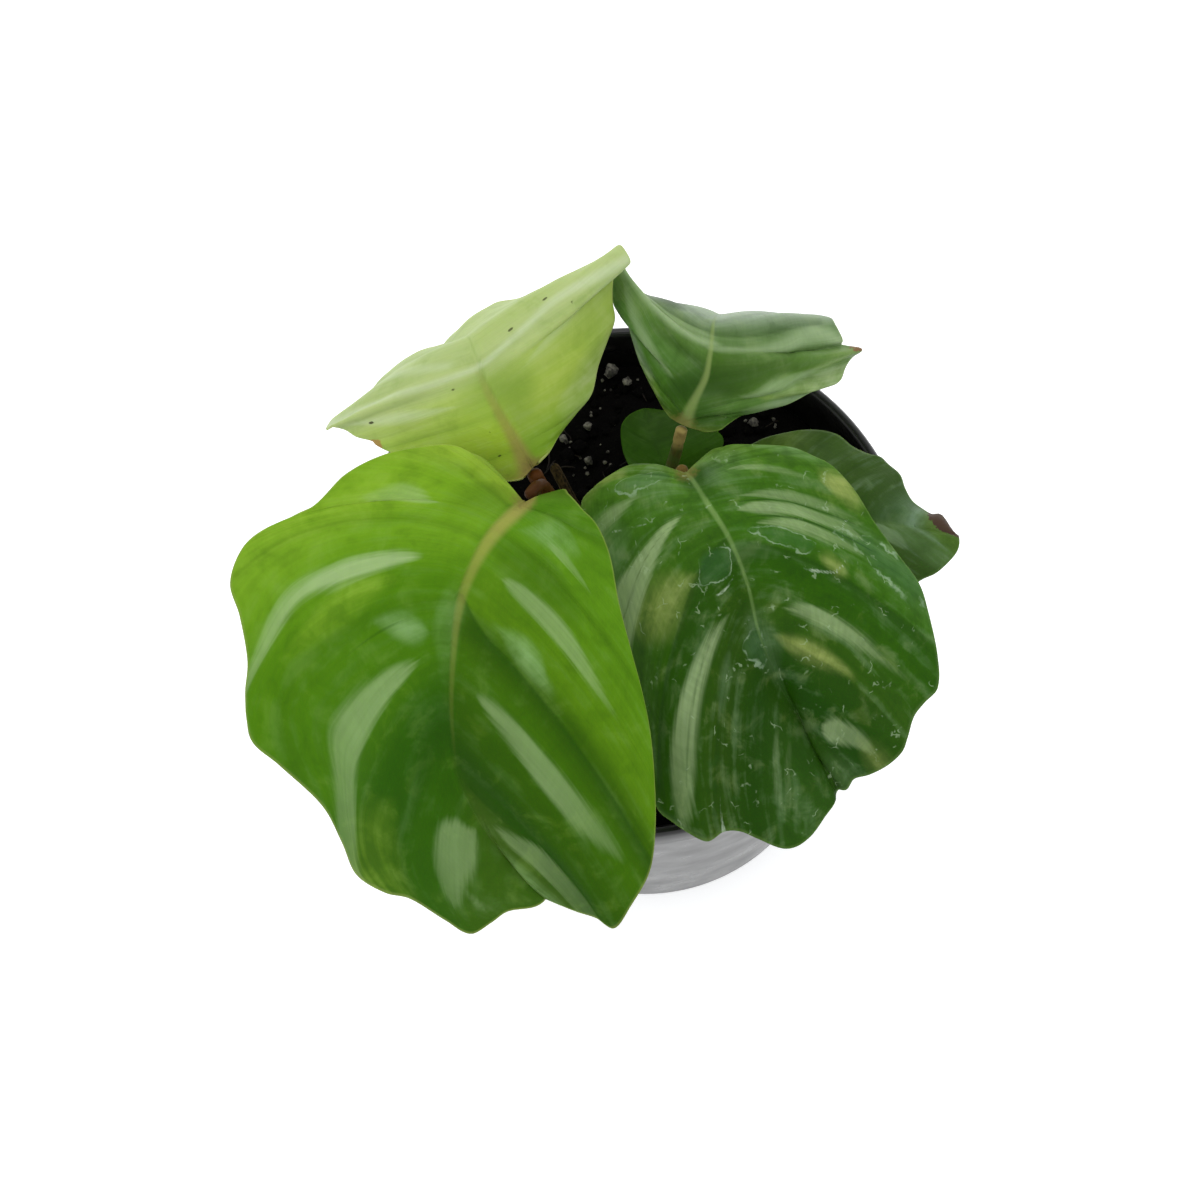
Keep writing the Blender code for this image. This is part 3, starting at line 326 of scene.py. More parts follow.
BACK_RIGHT = dict(
    base=(15, 12, 128), tip=(30.5, 45, 107.5),
    midrib=[(17, 14, 132), (20, 17, 136), (21.5, 21, 139.5), (23, 27, 139.5), (26.5, 36.5, 127)],
    left=[(0.1, 12.5, 14.5, 128), (0.2, 10.5, 20.5, 128), (0.3, 8.5, 27, 129.5), (0.4, 7.5, 32.5, 131.5),
          (0.45, 7, 35.5, 132), (0.5, 5, 39, 132.5), (0.55, 5, 42.5, 133), (0.6, 6, 46, 133.5),
          (0.64, 7.5, 48, 133.5), (0.68, 8, 47, 131), (0.76, 10.5, 45, 127), (0.8, 12.5, 45.5, 124),
          (0.889, 20.5, 44.5, 117)],
    right=[(0.1, 19, 10, 127.5), (0.15, 22, 10.5, 126.5), (0.2, 24.5, 12.5, 125.5), (0.25, 28, 15, 124),
           (0.35, 37, 17.5, 121.5), (0.45, 43.5, 21.5, 119), (0.52, 48.5, 23.5, 117.5),
           (0.56, 50.5, 27.5, 116), (0.6, 52.5, 30.5, 115), (0.655, 54.5, 31.5, 116),
           (0.68, 50.5, 32, 117.5), (0.71, 50.5, 32.5, 119), (0.74, 49.5, 35.5, 120),
           (0.77, 49, 37.5, 119.5), (0.8, 47.5, 39.5, 117.5), (0.875, 40, 42.5, 111.5)],
    dome=0.08, sweep=(0.1, 0.1), vein_power=1.6, grid=(160, 96), puff=0.6,
    veins=([0.08, 0.3, 0.45, 0.64, 0.8, 1.0], [0.08, 0.3, 0.5, 0.665, 0.8, 1.0]),
    leans=([(0.4, 0.24, 0), (0.544, 0.24, 0), (0.716, 0.1, 0), (0.85, 0.05, 0)],
           [(0.45, 0.5, 0), (0.61, 0.5, 0), (0.716, 0.08, 0), (0.85, 0.05, 0)]),
    tones=([(0.08, "536120"), (0.2, "395b10"), (0.3, "3e6516"), (0.42, "436922"), (0.52, "4e7330"),
            (0.62, "537532"), (0.7, "6a8450"), (0.8, "86987c"), (0.93, "889c7a")],
           [(0.08, "4f5f20"), (0.2, "375a14"), (0.3, "406422"), (0.42, "537732"), (0.52, "55792c"),
            (0.62, "53772a"), (0.72, "5f7c46"), (0.8, "94a48c"), (0.93, "7c9470")]),
    marks=dict(
        sheen=[(0.46, (-0.26, 0.42, 0), (-0.35, 0.445, 0.05), (-0.5, 0.49, 0.08), (-0.65, 0.54, 0.07),
                (-0.8, 0.59, 0.04), (-0.9, 0.61, 0)),
               # this stroke and the one after it run along the crest: a painted highlight
               (0.6, (-1, 0.645, 0.035), (-0.6, 0.655, 0.04), (-0.3, 0.665, 0.04), (0, 0.68, 0.03),
                (0.05, 0.68, 0.02)),
               (0.45, (0.28, 0.47, 0), (0.34, 0.48, 0.04), (0.42, 0.51, 0.07), (0.56, 0.555, 0.055),
                (0.7, 0.6, 0.045), (0.85, 0.64, 0)),
               (0.55, (0, 0.66, 0.02), (0.22, 0.68, 0.024), (0.45, 0.705, 0.024), (0.67, 0.725, 0.024),
                (0.85, 0.725, 0.026), (1, 0.7, 0.03)),
               (0.2, (-1, 0.71, 0.02), (-0.5, 0.71, 0.02), (0, 0.71, 0.02)),
               (0.3, (0.45, 0.35, 0), (0.7, 0.365, 0.09), (1, 0.36, 0.09))],
        fold=[(0.45, (-0.8, 0.735, 0.05), (-0.5, 0.73, 0.05), (0, 0.725, 0.05)),
              (0.5, (0, 0.715, 0.05), (0.2, 0.722, 0.05), (0.6, 0.74, 0.04), (0.85, 0.745, 0.03))],
        glow=[(0.6, (0.45, 0.45, 0), (0.7, 0.5, 0.09), (0.98, 0.53, 0.08)),
              (0.35, (0.6, 0.6, 0), (0.75, 0.62, 0.05), (0.95, 0.65, 0.03)),
              (0.3, (-1, 0.27, 0.1), (-0.7, 0.27, 0.1), (-0.5, 0.27, 0))],
        bloom=[(0.35, (-1, 0.36, 0.12), (-0.8, 0.35, 0.12), (-0.5, 0.34, 0)),
               (0.35, (0.5, 0.5, 0), (0.8, 0.48, 0.22), (1, 0.48, 0.24))],
        shade=[(0.5, (-0.45, 0.18, 0), (-0.1, 0.2, 0.12), (0.3, 0.22, 0.14), (0.7, 0.2, 0)),
               (0.4, (0, 0.42, 0.12), (0.15, 0.42, 0.14), (0.35, 0.4, 0)),
               (0.75, (-0.42, 0.3, 0), (-0.25, 0.36, 0.16), (-0.05, 0.44, 0.22), (0.05, 0.5, 0.22),
                (0.2, 0.52, 0.2), (0.35, 0.57, 0.12), (0.5, 0.62, 0.06), (0.65, 0.65, 0)),
               (0.4, (-0.5, 0.595, 0.02), (-0.25, 0.59, 0.04), (0, 0.59, 0.04)),
               (0.9, (-1, 0.82, 0.07), (-0.75, 0.8, 0.08), (-0.5, 0.78, 0.06), (-0.3, 0.77, 0))],
        nick=[(0.85, (0.94, 0.657, 0.003), (1, 0.657, 0.014))]),
    look=dict(deep="1e3c08", silver="a3b88c", glow="93ab52", bloom="a0b098", rib="8da05c", rim="7c9446",
              under="93ab78", nick="7a5238",
              rib_at=[(0.08, 0.55, 1.1), (0.2, 0.6, 1.0), (0.3, 0.6, 0.9), (0.4, 0.6, 0.7),
                      (0.6, 0.6, 0.5), (0.75, 0.4, 0.4), (0.82, 0, 0.4)],
              rib_shift=-0.3, mottle=0.1, streaks=0.12, wrinkle=0.06, gloss=0.42))

# ---- side right blade: half hidden, with a dried tip ----

SIDE_RIGHT = dict(
    base=(17, -1, 112), tip=(69, -6, 99),
    midrib=[(29, -2, 113), (38, -2, 111), (47, -3, 108), (58, -4, 103)],
    left=[(0.125, 22, 11, 110), (0.25, 31, 17, 109), (0.35, 38.5, 19, 107.5), (0.4, 41.5, 19.5, 106.5),
          (0.45, 45, 19, 106), (0.5, 48, 18, 105), (0.55, 50.5, 15.5, 104), (0.6, 53.5, 13.5, 103.5),
          (0.65, 56, 13, 102.5), (0.7, 57.5, 11.5, 101.5), (0.75, 59.5, 9, 101), (0.8, 60, 6, 100.5),
          (0.85, 61, 3, 100), (0.9, 63, 0.5, 100), (0.925, 64.5, -0.5, 99.5), (0.955, 66.5, -1, 99.5),
          (0.98, 68, -4.5, 99)],
    right=[(0.143, 20, -9, 108), (0.286, 28, -18, 103), (0.429, 38, -24, 101), (0.571, 51, -21, 100),
           (0.714, 59, -15, 99), (0.8, 63, -13.5, 99), (0.9, 67, -10.5, 99), (0.95, 68.5, -8.5, 99)],
    dome=0.08, sweep=(0.2, 0.2), vein_power=1.8, grid=(104, 80), puff=0.6,
    veins=([0.08, 0.28, 0.47, 0.64, 0.8, 1.0], [0.08, 0.28, 0.47, 0.64, 0.8, 1.0]),
    leans=([], []),
    tones=([(0.08, "415d14"), (0.3, "49651d"), (0.5, "375317"), (0.65, "304b11"), (0.77, "2e4913"),
            (0.86, "415d35"), (0.95, "516b2f")],
           [(0.08, "415d14"), (0.3, "49651d"), (0.5, "375317"), (0.65, "304b11"), (0.77, "334d19"),
            (0.86, "496535"), (0.95, "47651f")]),
    marks=dict(
        silver=[(0.14, (-0.9, 0.57, 0), (-0.5, 0.55, 0.02), (-0.2, 0.53, 0)),
                (0.1, (-0.9, 0.73, 0), (-0.5, 0.71, 0.02), (-0.2, 0.7, 0)),
                (0.14, (0.25, 0.37, 0), (0.5, 0.38, 0.016), (0.8, 0.39, 0)),
                (0.22, (0.2, 0.53, 0), (0.45, 0.55, 0.02), (0.8, 0.57, 0)),
                (0.25, (0.2, 0.67, 0), (0.45, 0.68, 0.024), (0.8, 0.7, 0)),
                (0.35, (0.05, 0.81, 0), (0.3, 0.805, 0.035), (0.66, 0.8, 0))],
        line=[(0.5, (-0.3, 0.907, 0.002), (0, 0.903, 0.002)),
              (0.4, (-0.7, 0.878, 0.002), (-0.58, 0.879, 0.002))],
        glow=[(0.35, (-1, 0.33, 0.1), (-0.8, 0.38, 0.12), (-0.55, 0.45, 0))],
        bloom=[(0.25, (-0.02, 0.52, 0.1), (0.1, 0.55, 0.14), (0.3, 0.6, 0)),
               (0.35, (-0.9, 0.89, 0.03), (0, 0.9, 0.03), (0.9, 0.9, 0))],
        shade=[(0.8, (-0.7, 0.2, 0), (-0.4, 0.24, 0.08), (-0.1, 0.28, 0)),
               (0.8, (0.15, 0.3, 0), (0.35, 0.28, 0.09), (0.6, 0.22, 0.08), (0.8, 0.2, 0)),
               (0.4, (-0.8, 0.82, 0), (-0.3, 0.835, 0.04), (0.1, 0.84, 0))],
        nick=[(1.0, (-1, 0.955, 0.042), (-0.7, 0.957, 0.036), (-0.3, 0.966, 0.026), (0, 0.98, 0.016),
               (0.6, 0.99, 0.009), (1, 1, 0.008))]),
    look=dict(deep="213c0c", silver="86a078", glow="708c3c", bloom="7f9880", rib="64844a", rim="55702f",
              under="86a06c", nick="46362a",
              rib_at=[(0.08, 0.6, 0.8), (0.5, 0.5, 0.5), (0.8, 0, 0.4)],
              mottle=0.12, streaks=0.18, wrinkle=0.05, gloss=0.42))

# ---- low blade: lies just over the mix ----

# Its dark tones are partly painted shade: it lies in the shade of the blades above it.
LOW = dict(
    base=(12, 13, 93), tip=(9, 39, 92),
    midrib=[(11, 16, 94), (11, 21, 95), (10, 27, 95), (9, 33, 94)],
    left=[(0.2, 8, 17, 93), (0.4, 4, 25, 92), (0.6, 3, 31, 91), (0.8, 4, 37, 91)],
    right=[(0.2, 16, 17, 93), (0.4, 22, 23, 92), (0.6, 25, 29, 92), (0.8, 19, 35, 92)],
    dome=0.03, sweep=(0.1, 0.1), vein_power=1.5, grid=(64, 48), puff=0.3,
    veins=([0.08, 0.3, 0.52, 0.75, 1.0], [0.08, 0.3, 0.52, 0.75, 1.0]),
    leans=([], []),
    tones=([(0.08, "3a6210"), (0.6, "305806"), (0.9, "2a4c04")],
           [(0.08, "3a6210"), (0.6, "325a06"), (0.9, "284804")]),
    marks=dict(
        silver=[(0.08, (-0.8, 0.44, 0), (-0.5, 0.42, 0.03), (-0.2, 0.4, 0)),
                (0.08, (0.2, 0.4, 0), (0.5, 0.42, 0.03), (0.8, 0.44, 0))],
        glow=[(0.2, (0.5, 0.35, 0), (0.8, 0.35, 0.2), (1, 0.35, 0.2))]),
    look=dict(deep="1c3604", silver="5f8040", glow="4f7a1c", bloom="55703c", rib="3f6a1a", rim="3a5c18",
              under="7f9a60",
              rib_at=[(0.08, 0.6, 0.5), (0.6, 0, 0.4)],
              mottle=0.14, streaks=0.2, wrinkle=0.03, gloss=0.5))

BLADES = {
    "leaf_front_left": FRONT_LEFT,
    "leaf_front_right": FRONT_RIGHT,
    "leaf_back_left": BACK_LEFT,
    "leaf_back_right": BACK_RIGHT,
    "leaf_side_right": SIDE_RIGHT,
    "leaf_low": LOW,
}

# ---- petioles: place round the crown, radii at the crown, halfway and at the knee, and the way ----
# The knee is the length of the swollen joint under the blade, in mm. Its colour runs on down the
# petiole to as many knee lengths as reach says, or to 1.25.
STEMS = {
    # The front left knee's near-black brown, which reach carries far down its petiole, is partly painted
    # shade: that petiole lies under the blades.
    "stem_front_left": dict(azimuth=205, radii=(1.9, 1.4, 1.2), knee=11, knee_colour="3c2208",
                            reach=2.4, way=[(-8, -2, 105), (-11, -0.5, 121), (-13, 0, 131),
                                            (-14.2, -1.4, 135.2), (-16.4, -4.8, 137)]),
    "stem_back_left": dict(azimuth=165, radii=(1.9, 1.5, 1.6), knee=10, knee_colour="4c2a0a",
                           way=[(-9, 2.5, 103), (-12.6, 3.4, 119), (-13.9, 3.3, 126),
                                (-15, 3.5, 132.2)]),
    "stem_low": dict(azimuth=78, radii=(1.0, 0.8, 0.8), knee=3, knee_colour="3d5a1c",
                     way=[(2.2, 7.6, 93.4), (5, 9.6, 94.4), (8.4, 11.3, 94.1), (11.2, 12.5, 93.2)]),
    "stem_back_right": dict(azimuth=35, radii=(1.7, 1.3, 1.25), knee=10, knee_colour="8a7c46",
                            way=[(8, 6, 104), (11, 8, 115), (13, 9.8, 121), (14, 10.9, 124.6),
                                 (14.8, 11.7, 127.5)]),
    "stem_front_right": dict(azimuth=-5, radii=(1.7, 1.3, 1.3), knee=9, knee_colour="6c5a2a",
                             way=[(9, 1, 105), (11.6, 1.6, 117), (12.9, 2.6, 124),
                                  (13.5, 1.35, 128.65)]),
    "stem_side_right": dict(azimuth=-45, radii=(1.6, 1.2, 1.1), knee=7, knee_colour="5f6a2c",
                            way=[(8, -3.6, 99), (11.4, -2, 106.4), (16.4, -1, 111.4)]),
}
SHEATH = dict(azimuth=125, way=[(-6, 6.5, 98), (-8.6, 9, 107), (-10.6, 11.2, 115),
                                (-11.6, 12.4, 119)])


# ---- small helpers ----

def linear(hex_colour):
    """An sRGB hex value as linear red, green, blue and alpha."""
    parts = [int(hex_colour[i:i + 2], 16) / 255 for i in (0, 2, 4)]
    return [c / 12.92 if c <= 0.04045 else ((c + 0.055) / 1.055) ** 2.4 for c in parts] + [1.0]


def spline(points, at, places=None):
    """A smooth line through the points, read at values from 0, the first, to 1, the last. The
    points lie at places along it, or evenly."""
    pts = np.asarray(points, float)
    knots = np.linspace(0, 1, len(pts)) if places is None else np.asarray(places, float)
    x = np.clip(np.atleast_1d(np.asarray(at, float)), 0, 1)
    step = np.diff(knots)[:, None]
    rise = np.diff(pts, axis=0) / step
    slope = np.repeat(rise[:1], len(pts), axis=0)
    slope[1:-1] = (pts[2:] - pts[:-2]) / (step[1:] + step[:-1])
    slope[0] = 2 * rise[0] - slope[1]
    slope[-1] = 2 * rise[-1] - slope[-2]
    i = np.clip(np.searchsorted(knots, x, side="right") - 1, 0, len(step) - 1)
    f = ((x - knots[i]) / step[i, 0])[:, None]
    return (pts[i] * (1 + 2 * f) * (1 - f) ** 2 + pts[i + 1] * (3 - 2 * f) * f ** 2
            + step[i] * f * (1 - f) * (slope[i] * (1 - f) - slope[i + 1] * f))


def unit(rows):
    return rows / np.maximum(np.linalg.norm(rows, axis=-1, keepdims=True), 1e-9)


def rough(points, lump, seed):
    """Smooth noise from -1 to 1 at each point in mm, with lumps of about that many mm."""
    shift = Vector((seed * 17.3, seed * 5.1, seed * 9.7))
    return np.array([noise.noise(Vector(p) / lump + shift) for p in points])


def only(*objs):
    bpy.ops.object.select_all(action="DESELECT")
    for obj in objs:
        obj.select_set(True)
    bpy.context.view_layer.objects.active = objs[0]


def join_points(obj, distance=0.002, outwards=False):
    """Joins points nearer than distance mm, and turns a closed form's faces outwards."""
    only(obj)
    bpy.ops.object.mode_set(mode="EDIT")
    bpy.ops.mesh.select_all(action="SELECT")
    bpy.ops.mesh.remove_doubles(threshold=distance * MM)
    if outwards:
        bpy.ops.mesh.normals_make_consistent(inside=False)
    bpy.ops.object.mode_set(mode="OBJECT")


def grid_sheet(columns, rows, place):
    """A subdivided plane whose points are set by place(u, v), each from 0 to 1, in mm."""
    bpy.ops.object.select_all(action="DESELECT")
    bpy.ops.mesh.primitive_grid_add(x_subdivisions=columns, y_subdivisions=rows, size=1,
                                    calc_uvs=True)
    obj = bpy.context.object
    flat = np.zeros(len(obj.data.vertices) * 3)
    obj.data.vertices.foreach_get("co", flat)
    flat = flat.reshape(-1, 3) + 0.5
    shaped = place(np.round(flat[:, 0], 6), np.round(flat[:, 1], 6))
    obj.data.vertices.foreach_set("co", (np.asarray(shaped) * MM).ravel())
    obj.data.update()
    return obj


def closed_form(columns, rows, place):
    """A sheet rolled up by place, with its seam and poles joined."""
    obj = grid_sheet(columns, rows, place)
    join_points(obj, outwards=True)
    bpy.ops.object.shade_smooth()
    return obj


def settle(obj, name, material, replaced=()):
    """Names a finished piece, gives it its material, puts it on the plant's one body, and hides
    the nodes it stands for."""
    obj.name = name
    obj.data.name = name
    if material:
        obj.data.materials.append(material)
    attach(obj, "root")
    if replaced:
        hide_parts(*replaced)
    return obj


# ---- node helpers ----

def add(tree, kind, inputs=None, out=0, **settings):
    """Adds one shader node with its settings and links, and returns the output asked for."""
    made = tree.nodes.new("ShaderNode" + kind)
    for key, value in settings.items():
        setattr(made, key, value)
    for key, value in (inputs or {}).items():
        if isinstance(value, bpy.types.NodeSocket):
            tree.links.new(value, made.inputs[key])
        else:
            made.inputs[key].default_value = value
    return made if out is None else made.outputs[out]


def new_material(name, **sockets):
    """A material with its shader's plain sockets set, and its node tree."""
    made = bpy.data.materials.new(name)
    made.use_nodes = True
    shader = made.node_tree.nodes["Principled BSDF"]
    for key, value in sockets.items():
        shader.inputs[key.replace("_", " ")].default_value = value
    return made, made.node_tree


def finish_material(made, colour, relief=None, strength=0.5, depth=0.2, roughness=None):
    """Links the shader's colour, a relief depth mm deep, and the roughness where it varies."""
    tree = made.node_tree
    ends = {"Base Color": colour}
    if roughness is not None:
        ends["Roughness"] = roughness
    if relief is not None:
        ends["Normal"] = add(tree, "Bump", {"Height": relief, "Strength": strength,
                                            "Distance": depth * MM})
    for key, end in ends.items():
        tree.links.new(end, tree.nodes["Principled BSDF"].inputs[key])
    return made


def painted(tree, ground, coats):
    """Lays each coat, a mask and a colour, over the ones before it."""
    for mask, top in coats:
        below, above = [linear(c) if isinstance(c, str) else c for c in (ground, top)]
        ground = add(tree, "Mix", {0: mask, 6: below, 7: above}, out=2, data_type="RGBA")
    return ground


def object_mm(tree):
    """Object coordinates in millimetres."""
    place = add(tree, "TexCoord", out="Object")
    return add(tree, "VectorMath", {0: place, 3: 1 / MM}, operation="SCALE")


# ---- blade skins ----

def set_stops(ramp, stops):
    """Places each colour at its share of the margin, as u runs along it."""
    while len(ramp.elements) > 1:
        ramp.elements.remove(ramp.elements[-1])
    for k, (s, colour) in enumerate(stops):
        at = min(max((s - FIRST_VEIN) / (1 - FIRST_VEIN), 0.0), 1.0)
        stop = ramp.elements.new(at) if k else ramp.elements[0]
        stop.position = at
        stop.color = colour


def tone_ramp(tree, u, tones):
    """The tissue's colour from base to tip."""
    ramp = add(tree, "ValToRGB", {0: u}, out=None)
    ramp.color_ramp.interpolation = "EASE"
    set_stops(ramp.color_ramp, [(s, linear(colour)) for s, colour in tones])
    return ramp.outputs[0]


def swing(tree, texture, amount):
    """A noise texture, moved to swing about 0 by the amount."""
    return add(tree, "MapRange", {0: texture, 1: 0.25, 2: 0.75, 3: -amount, 4: amount})


def edged(tree, kind, low, high, fray=0.0):
    """Mask of the marks of a kind with edges: full where they lie further in than high."""
    inside, strength = [add(tree, "Attribute", attribute_name=name, out="Fac")
                        for name in (kind, kind + "_by")]
    inside = add(tree, "Math", {0: inside, 1: fray}, operation="ADD")
    mask = add(tree, "MapRange", {0: inside, 1: low, 2: high}, interpolation_type="SMOOTHSTEP")
    return add(tree, "Math", {0: mask, 1: strength}, operation="MULTIPLY")


def midrib_mask(tree, u, rib_mm, look):
    """The midrib: broad at the petiole and gone before the tip."""
    widest = 4.0        # mm, the half width that the ramp's full green stands for
    off = add(tree, "Math", {0: rib_mm, 1: look.get("rib_shift", 0.0)}, operation="ADD")
    off = add(tree, "Math", {0: off}, operation="ABSOLUTE")
    along = add(tree, "ValToRGB", {0: u}, out=None)
    set_stops(along.color_ramp, [(s, (strength, half / widest, 0, 1))
                                 for s, strength, half in look["rib_at"]])
    along = add(tree, "SeparateColor", {0: along.outputs[0]}, out=None)
    half = add(tree, "Math", {0: along.outputs[1], 1: widest}, operation="MULTIPLY")
    ratio = add(tree, "Math", {0: off, 1: half}, operation="DIVIDE")
    rib = add(tree, "MapRange", {0: ratio, 1: 1.9, 2: 0.3}, interpolation_type="SMOOTHSTEP")
    return add(tree, "Math", {0: rib, 1: along.outputs[0]}, operation="MULTIPLY")


def dried_water(tree, mm, cloud, grain):
    """Hard water that has dried on a blade: a thin bluish film, which lies lowest, and broken
    whiter outlines, drips and flakes, which lie on top."""
    film = add(tree, "Attribute", attribute_name="film", out="Fac")
    wander = add(tree, "TexNoise", {0: mm, "Scale": 0.2, "Detail": 4.0})
    field = add(tree, "Math", {0: wander, 1: 1.3, 2: film}, operation="MULTIPLY_ADD")
    filmed = add(tree, "MapRange", {0: field, 1: 0.85, 2: 1.2, 4: 0.28})
    # a film's outline is where the field passes 0.95, unless no film is near
    brink = add(tree, "Math", {0: field, 1: 0.95}, operation="SUBTRACT")
    brink = add(tree, "Math", {0: brink}, operation="ABSOLUTE")
    brink = add(tree, "MapRange", {0: brink, 1: 0.06, 2: 0.02, 4: 0.42})
    near = add(tree, "MapRange", {0: film, 1: 0.08, 2: 0.22})
    brink = add(tree, "Math", {0: brink, 1: near}, operation="MULTIPLY")
    drips = edged(tree, "rime", -0.05, 0.3, swing(tree, grain, 0.1))
    broken = add(tree, "MapRange", {0: cloud, 1: 0.42, 2: 0.55})
    brink, drips = [add(tree, "Math", {0: line, 1: broken}, operation="MULTIPLY")
                    for line in (brink, drips)]
    # flakes are the outlines of a few bent cells, about 4 mm wide
    bent = add(tree, "TexNoise", {0: mm, "Scale": 0.5, "Detail": 2.0}, out=1)
    bent = add(tree, "VectorMath", {0: bent, 1: (3.0, 3.0, 3.0), 2: mm}, operation="MULTIPLY_ADD")
    cells = add(tree, "TexVoronoi", {0: bent, "Scale": 0.24}, out="Distance",
                feature="DISTANCE_TO_EDGE")
    flakes = add(tree, "MapRange", {0: cells, 1: 0.04, 2: 0.015})
    few = add(tree, "TexNoise", {0: mm, "Scale": 0.33, "Detail": 2.0})
    few = add(tree, "MapRange", {0: few, 1: 0.6, 2: 0.68, 4: 0.35})
    flakes = add(tree, "Math", {0: flakes, 1: few}, operation="MULTIPLY")
    return [(filmed, "325c36")], [(brink, "a4bc9c"), (drips, "c0d0b8"), (flakes, "a9bf98")]


def blade_skin(name, blade):
    """Living leaf: a waxy cuticle over green tissue. Silver cells lie between the side veins, and
    fine parallel veins cross it. Light and shade are painted on it too: shade along the valleys
    and in the folds, a yellow glow where it is lit, and pale highlights."""
    look = blade["look"]
    made, tree = new_material(name, IOR=1.42, Specular_IOR_Level=0.08, Subsurface_Weight=0.1,
                              Subsurface_Scale=0.0015, Subsurface_Radius=(0.5, 1.0, 0.15))
    ways = add(tree, "SeparateXYZ", {0: add(tree, "UVMap")}, out=None)
    u, v = ways.outputs[0], ways.outputs[1]
    mm = object_mm(tree)
    rib_mm, edge_mm, puff, glow, bloom, shade, sheen, vein = [
        add(tree, "Attribute", attribute_name=kind, out="Fac")
        for kind in ("rib_mm", "edge_mm", "puff", "glow", "bloom", "shade", "sheen", "vein")]

    # parallel veins about 0.8 mm apart, broader streaks, and wrinkles across them
    flow = add(tree, "CombineXYZ", {0: vein, 1: v})
    fine, broad, cross = [
        add(tree, "TexNoise", {0: add(tree, "Mapping", {0: flow, 3: (down, over, 1.0)}),
                               "Scale": 1.0, "Detail": detail})
        for down, over, detail in ((150.0, 5.0, 2.0), (40.0, 3.0, 3.0), (22.0, 85.0, 2.0))]
    cloud = add(tree, "TexNoise", {0: mm, "Scale": 0.16, "Detail": 4.0, "Roughness": 0.6,
                                   "Distortion": 0.4})
    grain = add(tree, "TexNoise", {0: mm, "Scale": 1.6, "Detail": 3.0})
    streaks = add(tree, "Math", {0: broad, 1: cloud}, operation="ADD")

    # tissue: v runs from the right margin, 0, over the midrib, 0.5, to the left margin, 1
    on_left = add(tree, "MapRange", {0: v, 1: 0.47, 2: 0.53})
    left_tone, right_tone = [tone_ramp(tree, u, tones) for tones in blade["tones"]]
    # painted shade: darker green along the main side veins, where the tissue dips between its swells
    swell = add(tree, "MapRange", {0: puff, 1: 0.5, 2: 0.0, 4: 0.22})
    dark = add(tree, "MapRange", {0: cloud, 1: 0.48, 2: 0.3, 4: look["mottle"] * 2},
               interpolation_type="SMOOTHSTEP")
    pale = add(tree, "MapRange", {0: cloud, 1: 0.52, 2: 0.7, 4: look["mottle"]},
               interpolation_type="SMOOTHSTEP")
    dim = add(tree, "MapRange", {0: streaks, 1: 1.0, 2: 0.75, 4: look["streaks"]})
    lit = add(tree, "MapRange", {0: streaks, 1: 1.0, 2: 1.25, 4: look["streaks"] * 0.7})
    uneven = add(tree, "MapRange", {0: streaks, 1: 0.8, 2: 1.15, 3: 0.45, 4: 1.25})
    # the painted glow and the painted highlights, uneven along the streaks
    glow, bloom = [add(tree, "Math", {0: tint, 1: uneven}, operation="MULTIPLY")
                   for tint in (glow, bloom)]
    fray = add(tree, "Math", {0: swing(tree, broad, 0.45), 1: swing(tree, fine, 0.3)},
               operation="ADD")
    silver = edged(tree, "silver", -0.3, 1.3, fray)
    thread = edged(tree, "line", -0.15, 0.15)
    line = add(tree, "MapRange", {0: fine, 1: 0.32, 2: 0.62, 3: 0.10, 4: 0.0})
    wrinkle = add(tree, "MapRange", {0: cross, 1: 0.62, 2: 0.35, 4: look["wrinkle"]})
    # painted light among these coats: swell and shade are painted shade, glow a painted glow, bloom a
    # painted highlight, and sheen in part a painted highlight
    ground = painted(tree, right_tone, [
        (on_left, left_tone), (swell, look["deep"]), (dark, look["deep"]), (pale, look["glow"]),
        (dim, look["deep"]), (lit, look["bloom"]), (glow, look["glow"]), (shade, look["deep"]),
        (bloom, look["bloom"]), (sheen, look["silver"]), (silver, look["silver"]),
        (thread, look["deep"]), (line, look["deep"]), (wrinkle, look["deep"])])

    # midrib, dry cork where the petiole joins, specks, the thin hem and what has dried
    base = add(tree, "VectorMath", {0: mm, 1: blade["base"]}, out="Value", operation="DISTANCE")
    wobble = add(tree, "Math", {0: grain, 1: 3.0, 2: base}, operation="MULTIPLY_ADD")
    collar = add(tree, "MapRange", {0: wobble, 1: 4.4, 2: 2.6, 4: 0.6})
    hem = add(tree, "MapRange", {0: edge_mm, 1: 0.5, 2: 0.15, 4: 0.35})
    coats = [(midrib_mask(tree, u, rib_mm, look), look["rib"]), (collar, "6e6232"),
             (edged(tree, "speck", -0.15, 0.15), "2c2a0c"), (hem, look["rim"]),
             (edged(tree, "nick", -0.2, 0.2, swing(tree, grain, 0.8)), look.get("nick", "4a3422"))]
    if "film" in blade["marks"]:
        lowest, upper = dried_water(tree, mm, cloud, grain)
        coats = lowest + coats + upper
    gloss = add(tree, "MapRange", {0: grain, 3: look["gloss"] - 0.05, 4: look["gloss"] + 0.08})
    relief = add(tree, "Math", {0: cross, 1: 0.8, 2: fine}, operation="MULTIPLY_ADD")
    return finish_material(made, painted(tree, ground, coats), relief, 0.4, 0.15, gloss)


